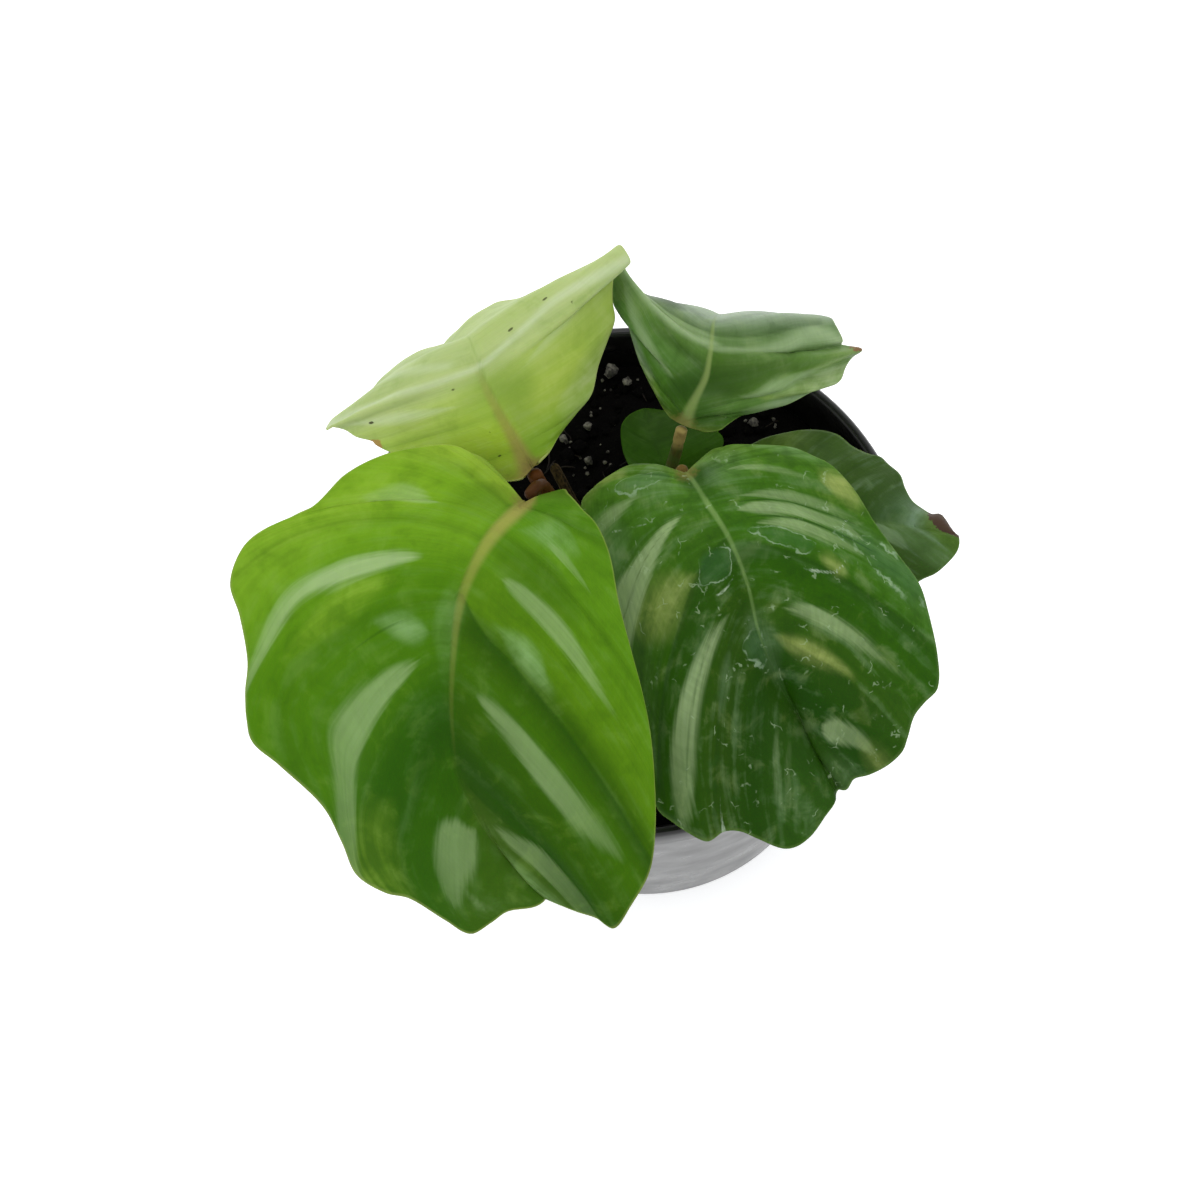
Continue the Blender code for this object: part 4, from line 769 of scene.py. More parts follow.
def blade_back(name, blade):
    """The under side of a leaf: paler and duller, with the same parallel veins and no silver."""
    look = blade["look"]
    made, tree = new_material(name, IOR=1.42, Roughness=0.62, Subsurface_Weight=0.12,
                              Subsurface_Scale=0.002, Subsurface_Radius=(0.5, 1.0, 0.15))
    lines_at = add(tree, "Mapping", {0: add(tree, "UVMap"), 3: (90.0, 3.0, 1.0)})
    lines = add(tree, "TexNoise", {0: lines_at, "Scale": 1.0, "Detail": 2.0})
    cloud = add(tree, "TexNoise", {0: object_mm(tree), "Scale": 0.2, "Detail": 3.0})
    puff, rib_mm = [add(tree, "Attribute", attribute_name=kind, out="Fac")
                    for kind in ("puff", "rib_mm")]
    shade = add(tree, "MapRange", {0: cloud, 1: 0.3, 2: 0.7, 4: 0.4})
    dark = add(tree, "MapRange", {0: lines, 1: 0.35, 2: 0.7, 4: 0.2})
    vein = add(tree, "MapRange", {0: puff, 1: 0.3, 2: 0.0, 4: 0.5})
    off = add(tree, "Math", {0: rib_mm}, operation="ABSOLUTE")
    keel = add(tree, "MapRange", {0: off, 1: 2.0, 2: 0.5, 4: 0.6})
    colour = painted(tree, look["under"], [(shade, blade["tones"][0][1][1]), (dark, look["deep"]),
                                           (vein, "b9c795"), (keel, "c2c596")])
    return finish_material(made, colour, lines, 0.5, 0.15)


# ---- making the blades ----

def blade_middle(blade, s, t):
    """The blade's middle surface: s runs base to tip, and t from -1, left margin, to 1, right.
    Also each point's distance from the midrib, less than 0 on the left, and from the margin."""
    along = [blade["base"], *blade["midrib"], blade["tip"]]
    power = blade["vein_power"]
    root = (s ** power - FIRST_VEIN ** power) / (1 - FIRST_VEIN ** power)
    rib = spline(along, root)
    run = unit(spline(along, root + 0.01) - spline(along, root - 0.01))
    w = np.abs(t)[:, None]
    points = np.array(rib)
    length = np.zeros(len(s))
    for side, margin, sweep in ((-1, blade["left"], blade["sweep"][0]),
                                (1, blade["right"], blade["sweep"][1])):
        shares, *sides = zip((0, *blade["base"]), *margin, (1, *blade["tip"]))
        edge = spline(np.column_stack(sides), s, shares)
        vein = edge - rib
        span = np.linalg.norm(vein, axis=1, keepdims=True)
        up = unit(np.cross(vein, run) * side)
        bend = sweep * np.interp(s, SWEEP_AT, SWEEP_SHARE)[:, None]
        bow = rib + vein / 2 - bend * span * run + blade["dome"] * span * up
        here = (1 - w) ** 2 * rib + 2 * w * (1 - w) * bow + w * w * edge
        mine = t * side > 0
        points[mine] = here[mine]
        length[mine] = span[mine, 0]
    return points, t * length, (1 - np.abs(t)) * length


def blade_round(blade, s, t):
    """The same with the bend at its midrib rounded, over more of its width near the tip."""
    points, rib_mm, edge_mm = blade_middle(blade, s, t)
    reach = 0.05 + 0.1 * np.clip((s - 0.6) / 0.4, 0, 1)
    reach = reach * np.exp(-(t / (2.5 * reach)) ** 2)
    sides = sum(blade_middle(blade, s, np.clip(t + step, -1, 1))[0] for step in (-reach, reach))
    return (points + sides) / 3, rib_mm, edge_mm


def vein_share(blade, s, t):
    """The share of the margin that each point's own vein ends at: veins lean and curl."""
    w = np.abs(t)
    lean_by = np.clip(w, 0, 0.62) - 0.5
    curl_by = np.clip((w - 0.75) / 0.25, 0, 1) ** 2
    found = np.array(s)
    for side, rows in zip((-1, 1), blade["leans"]):
        stations = [(FIRST_VEIN, 0, 0), *rows, (1, 0, 0)]
        for (a, lean_a, curl_a), (b, lean_b, curl_b) in zip(stations, stations[1:]):
            here_a = a + lean_a * lean_by + curl_a * curl_by
            here_b = b + lean_b * lean_by + curl_b * curl_by
            mine = (t * side > 0) & (s >= here_a) & (s <= here_b)
            found[mine] = (a + (b - a) * (s - here_a) / (here_b - here_a))[mine]
    return found


def blade_puff(blade, s, t):
    """0 on a main side vein, 1 halfway to the next: the tissue swells up between the veins."""
    height = np.zeros(len(s))
    for side, veins in zip((-1, 1), blade["veins"]):
        phase = np.interp(s, veins, range(len(veins)))
        mine = t * side > 0
        height[mine] = np.abs(np.sin(math.pi * phase[mine])) ** 0.8
    return height


def lay_marks(marks, s, t):
    """The marks at each point. A kind with edges tells how far inside its edge the point lies, in
    steps, and how strong that mark is. A soft kind tells its strength alone, and so does fold."""
    laid = {kind: np.full(len(s), -2.0) for kind in EDGED_MARKS}
    laid.update({kind + "_by": np.zeros(len(s)) for kind in EDGED_MARKS})
    laid.update({kind: np.zeros(len(s)) for kind in (*SOFT_MARKS, "fold")})
    strokes = [(kind, *stroke) for kind, group in marks.items() for stroke in group]
    for kind, strength, *rows in strokes:
        places, *shape = zip(*sorted(rows))
        start, end = places[0], places[-1]
        along = np.clip((t - start) / (end - start), 0, 1)
        shares = (np.array(places) - start) / (end - start)
        middle, half = spline(np.column_stack(shape), along, shares).T
        beyond = np.maximum(np.maximum(start - t, t - end), 0)
        fade = strength * np.clip(1 - beyond / 0.05, 0, 1)
        off = s - middle
        if kind in EDGED_MARKS:
            inside = (half - np.abs(off) - beyond / 2) / MARK_STEP
            nearer = inside > laid[kind]
            laid[kind][nearer] = inside[nearer]
            by = strength * np.ones(len(s))
            if kind == "silver":
                # a stripe is weaker at its far end, and a little at the midrib
                ends = np.abs(t - start), np.abs(end - t)
                to_rib, to_margin = ends if abs(start) <= abs(end) else ends[::-1]
                by *= 0.45 + 0.55 * np.clip(to_margin / 0.3, 0, 1)
                by *= 0.8 + 0.2 * np.clip(to_rib / 0.1, 0, 1)
            laid[kind + "_by"][nearer] = by[nearer]
        # a fold's dark side is painted shade, laid with the shade marks; its share also dents the sheet
        elif kind == "fold":
            lip = np.clip(off * np.sign(half) / FOLD_LIP + 0.5, 0, 1)
            share = np.clip(1 - np.abs(off / half), 0, 1)
            laid["shade"] = np.maximum(laid["shade"], fade * lip * share ** 1.5)
            laid["fold"] = np.maximum(laid["fold"], fade * share ** 3)
        else:
            share = np.clip(1 - (off / np.maximum(half, 1e-4)) ** 2, 0, 1) ** 2
            ends = np.clip(half / max(row[2] for row in rows), 0, 1) ** 0.7
            laid[kind] = np.maximum(laid[kind], fade * share * ends)
    return laid


def keep_in_box(obj):
    """Holds a piece to the solids' box, which a ripple in its margin might leave by a hair."""
    for v in obj.data.vertices:
        v.co = [min(max(c, lo), hi) for c, lo, hi in zip(v.co, cad_low, cad_high)]


def make_blade(node, blade):
    """A sheet with the marks as attributes, thickened to the glossy face and the under side."""
    kept = {}

    def place(u, v):
        s = FIRST_VEIN + (1 - FIRST_VEIN) * u
        t = 1 - 2 * v
        points, rib_mm, edge_mm = blade_round(blade, s, t)
        ds, dt = 0.004, 0.01
        ahead = blade_round(blade, np.minimum(s + ds, 1), t)[0]
        behind = blade_round(blade, np.maximum(s - ds, FIRST_VEIN), t)[0]
        right = blade_round(blade, s, np.minimum(t + dt, 1))[0]
        left = blade_round(blade, s, np.maximum(t - dt, -1))[0]
        up = unit(np.cross(right - left, ahead - behind))
        vein = vein_share(blade, s, t)
        puff = blade_puff(blade, vein, t)
        marks = lay_marks(blade["marks"], s, t)
        # heights in mm: swollen tissue, a groove along the midrib, small ripples, and the folds
        across = np.sin(math.pi * np.abs(t)) ** 1.3
        swell = blade["puff"] * puff * across * np.clip(u * 6, 0, 1)
        groove = -0.07 * np.exp(-(rib_mm / 2.0) ** 2) * np.clip(edge_mm / 4, 0, 1)
        ripple = 0.28 * rough(points, 9, 1) * np.clip(edge_mm / 3, 0, 1)
        crease = -0.5 * marks.pop("fold") * np.clip(edge_mm / 3, 0, 1)
        kept.update(rib_mm=rib_mm, edge_mm=edge_mm, puff=puff,
                    vein=(vein - FIRST_VEIN) / (1 - FIRST_VEIN), **marks)
        return points + up * (swell + groove + ripple + crease)[:, None]

    obj = grid_sheet(*blade["grid"], place)
    for name, values in kept.items():
        layer = obj.data.attributes.new(name, "FLOAT", "POINT")
        layer.data.foreach_set("value", values.astype(np.float32))
    join_points(obj, 0.004)
    obj.data.materials.append(blade_skin(node + "_skin", blade))
    obj.data.materials.append(blade_back(node + "_back", blade))
    skin = obj.modifiers.new("thickness", "SOLIDIFY")
    skin.thickness = BLADE_THICKNESS * MM
    skin.offset = 0
    skin.material_offset = 1
    only(obj)
    bpy.ops.object.modifier_apply(modifier=skin.name)
    bpy.ops.object.shade_smooth()
    keep_in_box(obj)
    settle(obj, node.replace("leaf", "blade"), None, [node])


# ---- petioles and sheath ----

def tube(route, radius, around, lobes=lambda x, a: 1.0):
    """A tube along the route, closed at both ends. radius(x) is in mm, x from 0 to 1 along it, and
    lobes(x, a) scales it round the axis."""
    steps = 2 * len(route)
    line = spline(route, np.linspace(0, 1, steps + 1))
    run = unit(np.gradient(line, axis=0))
    side = np.zeros_like(run)
    side[0] = unit(np.cross(run[0], (0.3, 1, 0.1)))
    for k in range(1, len(run)):
        side[k] = unit(side[k - 1] - run[k] * (side[k - 1] @ run[k]))
    other = np.cross(run, side)

    def place(u, v):
        k = np.round(u * steps).astype(int)
        angle = v * math.tau
        ends = np.interp(np.minimum(k, steps - k), (0, 1, 2), (0, 0.8, 1))
        size = radius(u) * ends * lobes(u, angle)
        return (line[k] + side[k] * (size * np.cos(angle))[:, None]
                + other[k] * (size * np.sin(angle))[:, None])

    return closed_form(steps, around, place)


def stem_route(stem, level):
    """From the crown, straight up for a millimetre, and then the stem's own way."""
    angle = math.radians(stem["azimuth"])
    x, y = STEM_RING * math.cos(angle), STEM_RING * math.sin(angle)
    return np.vstack([(x, y, level), spline([(x, y, level + 1), *stem["way"]],
                                            np.linspace(0, 1, 24))])


def petiole_skin(name, stem, share):
    """Petiole: ribbed green stalk, dull at the sheathed foot, with a swollen joint under the
    blade whose skin is browner. The joint's length is that share of the whole."""
    made, tree = new_material(name, IOR=1.42, Roughness=0.5, Specular_IOR_Level=0.1)
    uv = add(tree, "UVMap")
    along = add(tree, "SeparateXYZ", {0: uv})
    ribs_at = add(tree, "Mapping", {0: uv, 3: (5.0, 22.0, 1.0)})
    ribs = add(tree, "TexNoise", {0: ribs_at, "Scale": 1.0, "Detail": 2.0})
    cloud = add(tree, "TexNoise", {0: object_mm(tree), "Scale": 0.5, "Detail": 4.0})
    drift = add(tree, "Math", {0: cloud, 1: 0.12, 2: along}, operation="MULTIPLY_ADD")
    reach = stem.get("reach", 1.25)
    knee = add(tree, "MapRange", {0: drift, 1: 1.06 - share * reach,
                                  2: 1.06 - share * (reach - 0.45)},
               interpolation_type="SMOOTHSTEP")
    foot = add(tree, "MapRange", {0: drift, 1: 0.42, 2: 0.1, 4: 0.8})
    dark = add(tree, "MapRange", {0: ribs, 1: 0.4, 2: 0.7, 4: 0.45})
    blush = add(tree, "MapRange", {0: cloud, 1: 0.45, 2: 0.7, 4: 0.5})
    colour = painted(tree, "3e4e1a", [(dark, "33421a"), (foot, "3a2c18"),
                                      (knee, stem["knee_colour"]), (blush, "4c3014")])
    return finish_material(made, colour, ribs)


def make_petiole(node, stem, level):
    """The sheathed foot is wrapped, one edge over the other, and a slight neck leads to the knee."""
    route = stem_route(stem, level)
    share = stem["knee"] / np.linalg.norm(np.diff(route, axis=0), axis=1).sum()

    def radius(x):
        neck = 0.12 * np.exp(-((x - 1 + share) / 0.03) ** 2)
        return np.interp(x, (0, 0.5, 1), stem["radii"]) * (1 - neck)

    def lobes(x, a):
        wrapped = np.clip(1 - x / 0.5, 0, 1)
        return 0.95 + 0.09 * wrapped * (((a + 4 * x) / math.tau) % 1.0) - 0.04 * wrapped

    settle(tube(route, radius, 24, lobes), node.replace("stem", "petiole"),
           petiole_skin(node + "_skin", stem, share), [node])


def sheath_material(name, pale, dark):
    """Dried leaf sheath: papery brown fibre that runs along it."""
    made, tree = new_material(name, IOR=1.4, Roughness=0.75, Specular_IOR_Level=0.1)
    fibre_at = add(tree, "Mapping", {0: object_mm(tree), 3: (2.2, 2.2, 0.18)})
    fibre = add(tree, "TexNoise", {0: fibre_at, "Scale": 1.0, "Detail": 4.0})
    mask = add(tree, "MapRange", {0: fibre, 1: 0.38, 2: 0.66})
    return finish_material(made, painted(tree, dark, [(mask, pale)]), fibre, 0.8, 0.3)


def make_sheath(level):
    """The dried strip beside the crown: thin, creased along and narrow at its top."""
    def radius(x):
        return np.interp(x, (0, 0.5, 0.9, 1), (1.4, 1.55, 1.1, 0.5))

    def lobes(x, a):
        return 1 - 0.32 * np.abs(np.sin(a + 2.4 * x)) - 0.06 * np.sin(7 * a)

    settle(tube(stem_route(SHEATH, level), radius, 28, lobes), "dried_sheath",
           sheath_material("old_sheath_dry", "4a3c22", "1d170c"), ["old_sheath"])


def make_crown():
    """The stock: a low mound whose top is wrapped by the feet of the sheaths."""
    low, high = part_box("crown")
    radius, foot, top = high.x / MM, low.z / MM, high.z / MM
    turns = (0, 0.3, 0.62, 0.8, 1)

    def place(u, v):
        angle = v * math.tau
        out = radius * np.interp(u, turns, (0, 0.72, 0.93, 0.98, 0))
        height = np.interp(u, turns, (top - 0.6, top - 0.3, top - 1.6, foot, foot))
        folds = 1 - 0.05 * np.abs(np.sin(angle * 5 + 2 * u)) * np.clip(u * 4, 0, 1)
        return np.stack([out * folds * np.cos(angle), out * folds * np.sin(angle), height], 1)

    settle(closed_form(40, 96, place), "crown_stock",
           sheath_material("crown_fibre", "3d2e19", "150f08"), ["crown"])


# ---- pot ----

def pot_plastic():
    """Black polypropylene, injection moulded: satin, with faint rings from the mould, scuffs and
    a little dust and dried mix in broad patches."""
    made, tree = new_material("polypropylene_black_moulded", IOR=1.49)
    mm = object_mm(tree)
    fine = add(tree, "TexNoise", {0: mm, "Scale": 2.2, "Detail": 3.0})
    broad = add(tree, "TexNoise", {0: mm, "Scale": 0.09, "Detail": 4.0})
    rings_at = add(tree, "Mapping", {0: mm, 3: (0.004, 0.004, 1.1)})
    rings = add(tree, "TexNoise", {0: rings_at, "Scale": 1.0, "Detail": 1.0})
    scuff_at = add(tree, "Mapping", {0: mm, 2: (0.3, 0.2, 0.7), 3: (2.5, 0.12, 2.5)})
    scuff = add(tree, "TexNoise", {0: scuff_at, "Scale": 1.0, "Detail": 3.0})
    worn = add(tree, "MapRange", {0: scuff, 1: 0.70, 2: 0.78, 4: 0.12})
    dust = add(tree, "MapRange", {0: broad, 1: 0.45, 2: 0.75, 4: 0.06})
    colour = painted(tree, "0e0e0d", [(dust, "3a3731"), (worn, "2c2b28")])
    gloss = add(tree, "MapRange", {0: broad, 1: 0.3, 2: 0.7, 3: 0.24, 4: 0.36})
    relief = add(tree, "Math", {0: rings, 1: 0.5, 2: fine}, operation="MULTIPLY_ADD")
    return finish_material(made, colour, relief, 0.06, 0.1, gloss)


def turned(profile, steps):
    """A closed round body: a ring at the profile's first point is extruded through the rest, and
    both ends are merged on the axis. The profile is (radius, height) in mm."""
    bpy.ops.object.select_all(action="DESELECT")
    (radius, height), rest = profile[0], profile[1:]
    bpy.ops.mesh.primitive_circle_add(vertices=steps, radius=radius * MM,
                                      location=(0, 0, height * MM))
    obj = bpy.context.object
    bpy.ops.object.transform_apply(location=True, rotation=True, scale=True)
    bpy.ops.object.mode_set(mode="EDIT")
    bpy.ops.mesh.select_all(action="SELECT")
    bpy.ops.mesh.extrude_edges_move()
    bpy.ops.mesh.merge(type="CENTER")
    bpy.ops.mesh.select_all(action="DESELECT")
    bpy.ops.object.mode_set(mode="OBJECT")
    for v in obj.data.vertices:
        v.select = math.hypot(v.co.x, v.co.y) > radius * MM * 0.5
    bpy.ops.object.mode_set(mode="EDIT")
    for next_radius, next_height in rest:
        scale = next_radius / radius
        bpy.ops.mesh.extrude_edges_move()
        bpy.ops.transform.resize(value=(scale, scale, 1), center_override=(0, 0, height * MM))
        bpy.ops.transform.translate(value=(0, 0, (next_height - height) * MM))
        radius, height = next_radius, next_height
    bpy.ops.mesh.extrude_edges_move()
    bpy.ops.mesh.merge(type="CENTER")
    bpy.ops.mesh.select_all(action="SELECT")
    bpy.ops.mesh.normals_make_consistent(inside=False)
    bpy.ops.object.mode_set(mode="OBJECT")
    return obj


def pot_wall(z):
    """Radius of the pot's outer face at a height under the band."""
    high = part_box("pot")[1]
    rim, band = high.x / MM, high.z / MM - POT_BAND
    base = rim * POT_TAPER
    return base + (rim - POT_LEDGE - base) * z / band


def cut_drain_holes(pot):
    """Round holes through the raised ring of the floor."""
    count, ring, radius, level = 8, 26 * MM, 3 * MM, 3 * MM
    bpy.ops.object.select_all(action="DESELECT")
    pegs = []
    for k in range(count):
        angle = math.tau * (k + 0.5) / count
        place = (ring * math.cos(angle), ring * math.sin(angle), level)
        bpy.ops.mesh.primitive_cylinder_add(vertices=32, radius=radius, depth=4 * level,
                                            location=place)
        pegs.append(bpy.context.object)
    only(*pegs)
    bpy.ops.object.join()
    peg = bpy.context.object
    cut = pot.modifiers.new("drain_holes", "BOOLEAN")
    cut.operation = "DIFFERENCE"
    cut.solver = "EXACT"
    cut.object = peg
    only(pot)
    bpy.ops.object.modifier_apply(modifier=cut.name)
    bpy.data.objects.remove(peg, do_unlink=True)


def make_pot():
    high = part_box("pot")[1]
    rim, top = high.x / MM, high.z / MM
    band, base, inner = top - POT_BAND, pot_wall(0), rim - POT_LEDGE - WALL
    # under side: the middle disc, the raised ring and the foot
    profile = [(4, 0), (15, 0), (17, 3), (35, 3), (37, 0), (base - 1.8, 0), (base - 0.9, 0.15),
               (base - 0.3, 0.6)]
    profile += [(pot_wall(z), z) for z in (1.8, 12, 24, 36, 48, 60, 72, 84, band - 0.5)]
    # the band and the rounded lip
    profile += [(pot_wall(band) + 0.25, band - 0.15), (rim - 0.5, band), (rim - 0.12, band + 0.15),
                (rim, band + 0.5), (rim, top - 0.9), (rim - 0.2, top - 0.35), (rim - 0.6, top),
                (rim - 1.5, top), (inner + 0.9, top - 0.25), (inner + 0.4, top - 0.8),
                (inner, band)]
    # inside: the wall, the floor and its raised ring
    profile += [(pot_wall(z) - WALL, z) for z in (84, 60, 36, 12, 3)]
    profile += [(pot_wall(1.5) - WALL - 0.8, 1.6), (38.7, 1.5), (36.7, 4.5), (15.3, 4.5),
                (13.3, 1.5), (4, 1.5)]
    pot = turned(profile, POT_STEPS)
    cut_drain_holes(pot)
    only(pot)
    bpy.ops.object.shade_smooth_by_angle(angle=math.radians(40))
    settle(pot, "nursery_pot", pot_plastic(), ["pot"])


# ---- potting mix and what lies on it ----

def mix_material():
    """Damp peat and coir: near black, matt, with brown fibre showing where it has dried."""
    made, tree = new_material("peat_and_coir_damp", IOR=1.35, Roughness=0.95,
                              Specular_IOR_Level=0.12)
    mm = object_mm(tree)
    crumbs = add(tree, "TexNoise", {0: mm, "Scale": 0.9, "Detail": 6.0, "Roughness": 0.7})
    fibre_at = add(tree, "Mapping", {0: mm, 2: (0, 0, 0.6), 3: (0.35, 2.4, 1.0)})
    fibre = add(tree, "TexNoise", {0: fibre_at, "Scale": 1.0, "Detail": 4.0, "Distortion": 1.5})
    dry = add(tree, "MapRange", {0: crumbs, 1: 0.55, 2: 0.75, 4: 0.6})
    thread = add(tree, "MapRange", {0: fibre, 1: 0.66, 2: 0.72, 4: 0.6})
    colour = painted(tree, "060504", [(dry, "0f0b07"), (thread, "1c150d")])
    return finish_material(made, colour, crumbs, 1.0, 0.8)


def coir_material():
    """Coir: coarse coconut fibre, dull brown and uneven."""
    made, tree = new_material("coir_fibre", Roughness=0.9, IOR=1.4)
    tint = add(tree, "TexNoise", {0: object_mm(tree), "Scale": 0.7})
    mask = add(tree, "MapRange", {0: tint, 1: 0.35, 2: 0.65})
    return finish_material(made, painted(tree, "0e0a06", [(mask, "1e150c")]))


def perlite_material():
    """Expanded volcanic glass: chalky white, pitted, stained by the mix."""
    made, tree = new_material("perlite_expanded", IOR=1.5, Roughness=0.9)
    mm = object_mm(tree)
    pits = add(tree, "TexVoronoi", {0: mm, "Scale": 2.2})
    stain = add(tree, "TexNoise", {0: mm, "Scale": 0.8, "Detail": 4.0})
    dirty = add(tree, "MapRange", {0: stain, 1: 0.36, 2: 0.6, 4: 0.92})
    hollow = add(tree, "MapRange", {0: pits, 1: 0.25, 2: 0.05, 4: 0.5})
    colour = painted(tree, "7c796c", [(hollow, "504c40"), (dirty, "1e1b16")])
    return finish_material(made, colour, pits, 0.8)


def mix_height(x, y):
    """Height of the crumbly surface, flat where the crown sits."""
    spread = np.clip((np.hypot(x, y) - 12) / 10, 0, 1)
    points = np.stack([x, y, np.zeros_like(x)], 1)
    lumps = 1.0 * rough(points, 14, 2) + 0.55 * rough(points, 5, 3) + 0.3 * rough(points, 2, 4)
    return MIX_LEVEL + lumps * spread - 0.1


def make_mix(material):
    low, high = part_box("soil")
    radius, bottom = high.x / MM - 0.1, low.z / MM
    foot = pot_wall(bottom) - WALL - 0.4
    edge = MIX_LEVEL - 0.8
    # a ray runs from the middle of the top to the wall, down it and back under to the middle
    wall_at, floor_at, settled = 0.8, 0.93, 0.04

    def place(u, v):
        angle = v * math.tau
        out = np.interp(u, (0, wall_at, floor_at, 1), (0, radius, foot, 0))
        x, y = out * np.cos(angle), out * np.sin(angle)
        fall = np.clip((u - wall_at + settled) / settled, 0, 1)
        top = mix_height(x, y) * (1 - fall) + edge * fall
        under = np.interp(u, (wall_at, floor_at, 1), (edge, bottom, bottom))
        return np.stack([x, y, np.where(u > wall_at, under, top)], 1)

    settle(closed_form(100, 192, place), "potting_mix", material, ["soil"])


def grain(radius, detail, unevenness, seed):
    """One irregular grain, in mm, from an icosphere: a little flat, as it lies."""
    bpy.ops.object.select_all(action="DESELECT")
    bpy.ops.mesh.primitive_ico_sphere_add(subdivisions=detail, radius=radius * MM)
    obj = bpy.context.object
    for v in obj.data.vertices:
        swell = noise.noise(v.co / (radius * 0.9 * MM) + Vector((seed * 3.1, 0, 0)))
        pit = noise.noise(v.co / (radius * 0.35 * MM) + Vector((0, seed * 2.3, 0)))
        v.co *= 1 + unevenness * swell + unevenness * 0.35 * pit
        v.co.z *= 0.75
    return obj


def scatter(name, models, places, material):
    """Copies of the models, one at each (x, y, z, size) in mm, joined as one piece. The models
    themselves are taken away."""
    made = []
    for x, y, z, size in places:
        source = dice.choice(models)
        copy = bpy.data.objects.new(name, source.data.copy())
        bpy.context.scene.collection.objects.link(copy)
        turn = Matrix.Rotation(dice.uniform(0, math.tau), 4, "Z")
        tip = Matrix.Rotation(dice.uniform(-0.5, 0.5), 4, "X")
        copy.data.transform(Matrix.Translation((x * MM, y * MM, z * MM)) @ turn @ tip
                            @ Matrix.Diagonal((size, size, size, 1)))
        made.append(copy)
    only(*made)
    bpy.ops.object.join()
    joined = bpy.context.object
    bpy.ops.object.shade_smooth()
    for model in models:
        bpy.data.objects.remove(model, do_unlink=True)
    settle(joined, name, material)


def open_places(count, sizes, reach, sink=0.2):
    """Random places on the mix, clear of the crown and the wall."""
    found = []
    while len(found) < count:
        radius = reach * math.sqrt(dice.random())
        if radius < CROWN_CLEAR:
            continue
        angle = dice.uniform(0, math.tau)
        x, y = radius * math.cos(angle), radius * math.sin(angle)
        size = dice.uniform(*sizes)
        height = mix_height(np.array([x]), np.array([y]))[0]
        found.append((x, y, height + sink * size, size))
    return found


def make_crumbs(reach, material):
    crumbs = [grain(1.0, 2, 0.5, k) for k in range(4)]
    scatter("mix_crumbs", crumbs, open_places(CRUMBS, (0.5, 1.7), reach), material)


def make_strands(reach):
    """Short bent strands of coir."""
    thin = 0.16         # their radius
    strands = []
    for k in range(3):
        line = [(-2.2, 0, 0), (-0.8, 0.3 * (k - 1), 0.3), (0.7, 0.1, 0.2), (2.3, -0.4 * k, 0)]
        strands.append(tube(spline(line, np.linspace(0, 1, 5)), lambda x: np.full_like(x, thin), 6))
    scatter("coir_strands", strands, open_places(STRANDS, (0.6, 1.4), reach - 3, sink=0.5),
            coir_material())


def make_fines(reach, white):
    """Small broken perlite: three bits round each of the places where it gathers, and stray ones."""
    fines = [grain(0.5, 1, 0.4, 20 + k) for k in range(3)]
    places = []
    for x, y in [(-4, 39), (-5, 30.5), (-1, 32), (-10, 37.5), (5, 51.5), (2, 51), (7, 52.5),
                 (36, 35), (32, 37), (-12, 41), (-7, 34), (-2, 45)]:
        for _ in range(3):
            px, py = x + dice.uniform(-1.8, 1.8), y + dice.uniform(-1.8, 1.8)
            if math.hypot(px, py) < reach:
                height = mix_height(np.array([px]), np.array([py]))[0]
                places.append((px, py, height + 0.15, dice.uniform(0.5, 1.1)))
    scatter("perlite_fines", fines, places + open_places(FINES, (0.4, 1.1), reach), white)


def make_perlite(k, white):
    """A grain large enough to lift off, in its solid's place."""
    low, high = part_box(f"perlite_{k}")
    obj = grain((high.x - low.x) / 2 / MM, 3, 0.5, 40 + k)
    obj.data.transform(Matrix.Translation((low + high) / 2))
    only(obj)
    bpy.ops.object.shade_smooth()
    settle(obj, f"perlite_grain_{k}", white, [f"perlite_{k}"])


# ---- stage, light and camera ----

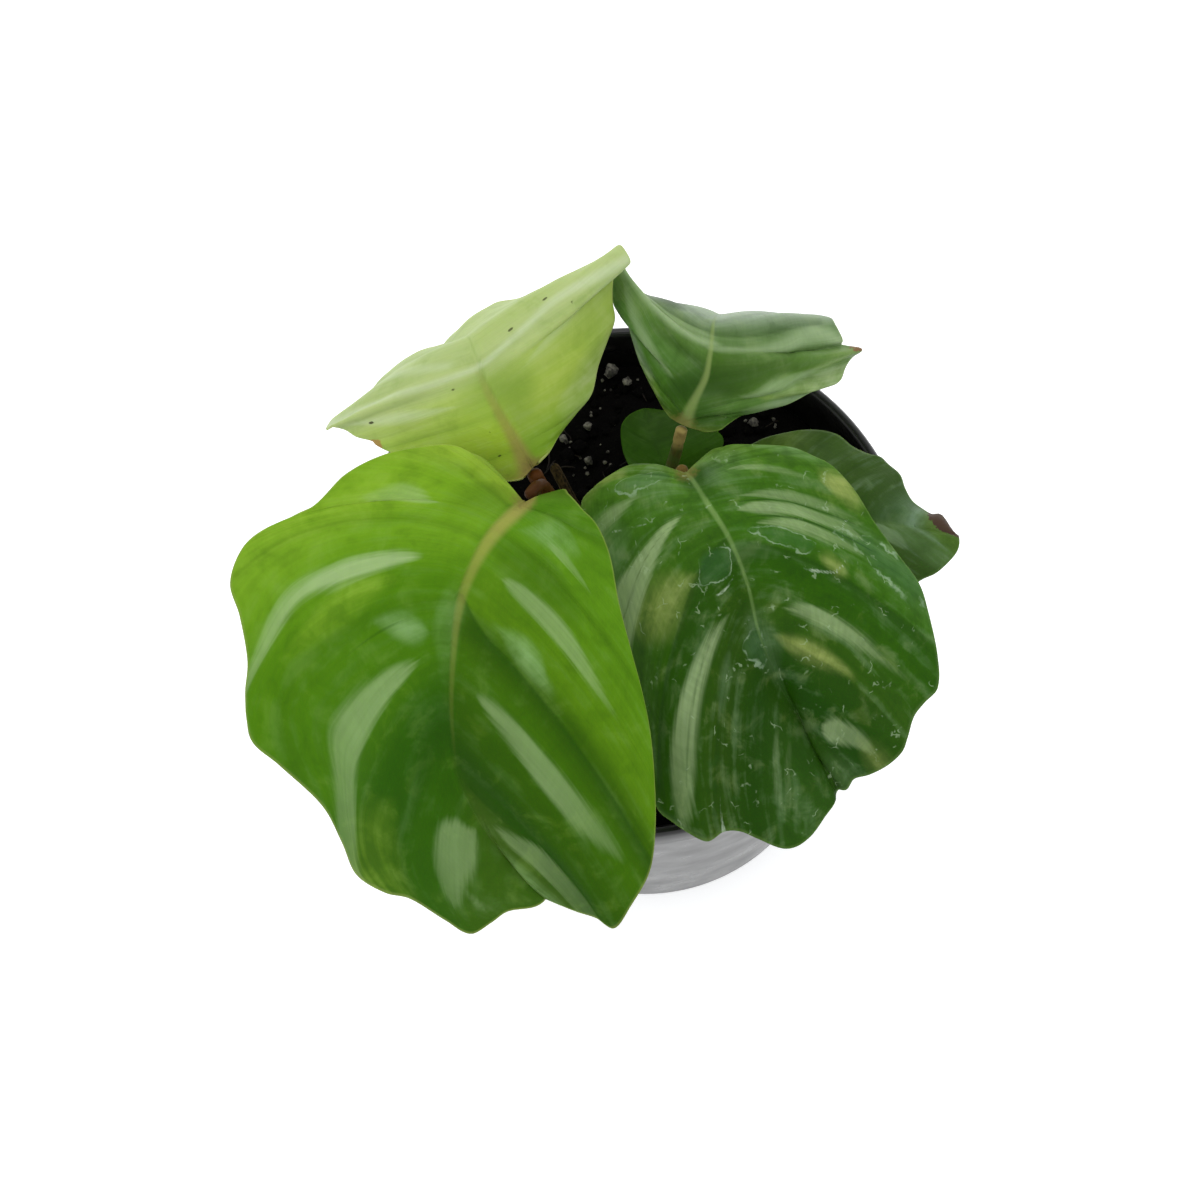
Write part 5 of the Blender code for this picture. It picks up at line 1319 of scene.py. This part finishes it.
def make_stage():
    """A white table that glows a little, so that it is as pale as the studio round it."""
    bpy.ops.object.select_all(action="DESELECT")
    bpy.ops.mesh.primitive_plane_add(size=6)
    floor = bpy.context.object
    floor.name = "floor"
    made, _ = new_material("table_white_matt", Roughness=0.6, Base_Color=linear("f4f4f3"),
                           Emission_Color=linear("fcfdff"), Emission_Strength=0.5)
    floor.data.materials.append(made)
    world = bpy.data.worlds.new("studio")
    bpy.context.scene.world = world
    world.use_nodes = True
    world.node_tree.nodes["Background"].inputs[0].default_value = linear("fcfdff")
    world.node_tree.nodes["Background"].inputs[1].default_value = 1.0


def area_light(name, place, size, power):
    """A soft square light that faces the plant."""
    light = bpy.data.lights.new(name, "AREA")
    light.energy = power
    light.size = size
    holder = bpy.data.objects.new(name, light)
    bpy.context.scene.collection.objects.link(holder)
    holder.location = place
    aim = Vector((0, 0, 0.1)) - Vector(place)
    holder.rotation_euler = aim.to_track_quat("-Z", "Y").to_euler()


def make_camera():
    """Looks down on the plant from the front, with a slight roll."""
    data = bpy.data.cameras.new("camera")
    data.sensor_width = 36
    data.lens = 51.24
    data.clip_start = 0.01
    holder = bpy.data.objects.new("camera", data)
    bpy.context.scene.collection.objects.link(holder)
    place = Vector((0, -0.16175, 0.41661))
    aim = Vector((-0.00608, -0.00757, 0.095))
    level = (aim - place).to_track_quat("-Z", "Y").to_matrix().to_4x4()
    roll = Matrix.Rotation(math.radians(-9.726), 4, "Z")
    holder.matrix_world = Matrix.Translation(place) @ level @ roll
    bpy.context.scene.camera = holder


def main():
    foot_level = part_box("crown")[1].z / MM + 0.3
    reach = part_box("soil")[1].x / MM - 2.5
    make_stage()
    area_light("window_behind", (0.1, 1.5, 1.5), 1.6, 7)
    area_light("ceiling", (-0.5, -0.2, 1.9), 1.4, 4)
    make_camera()
    make_pot()
    mix = mix_material()
    white = perlite_material()
    make_mix(mix)
    make_crumbs(reach, mix)
    make_strands(reach)
    make_fines(reach, white)
    for k in range(1, PERLITE_GRAINS + 1):
        make_perlite(k, white)
    make_crown()
    make_sheath(foot_level)
    for node, stem in STEMS.items():
        make_petiole(node, stem, foot_level)
    for node, blade in BLADES.items():
        make_blade(node, blade)
    bpy.context.scene.view_settings.view_transform = "Standard"
    bpy.context.view_layer.update()


main()
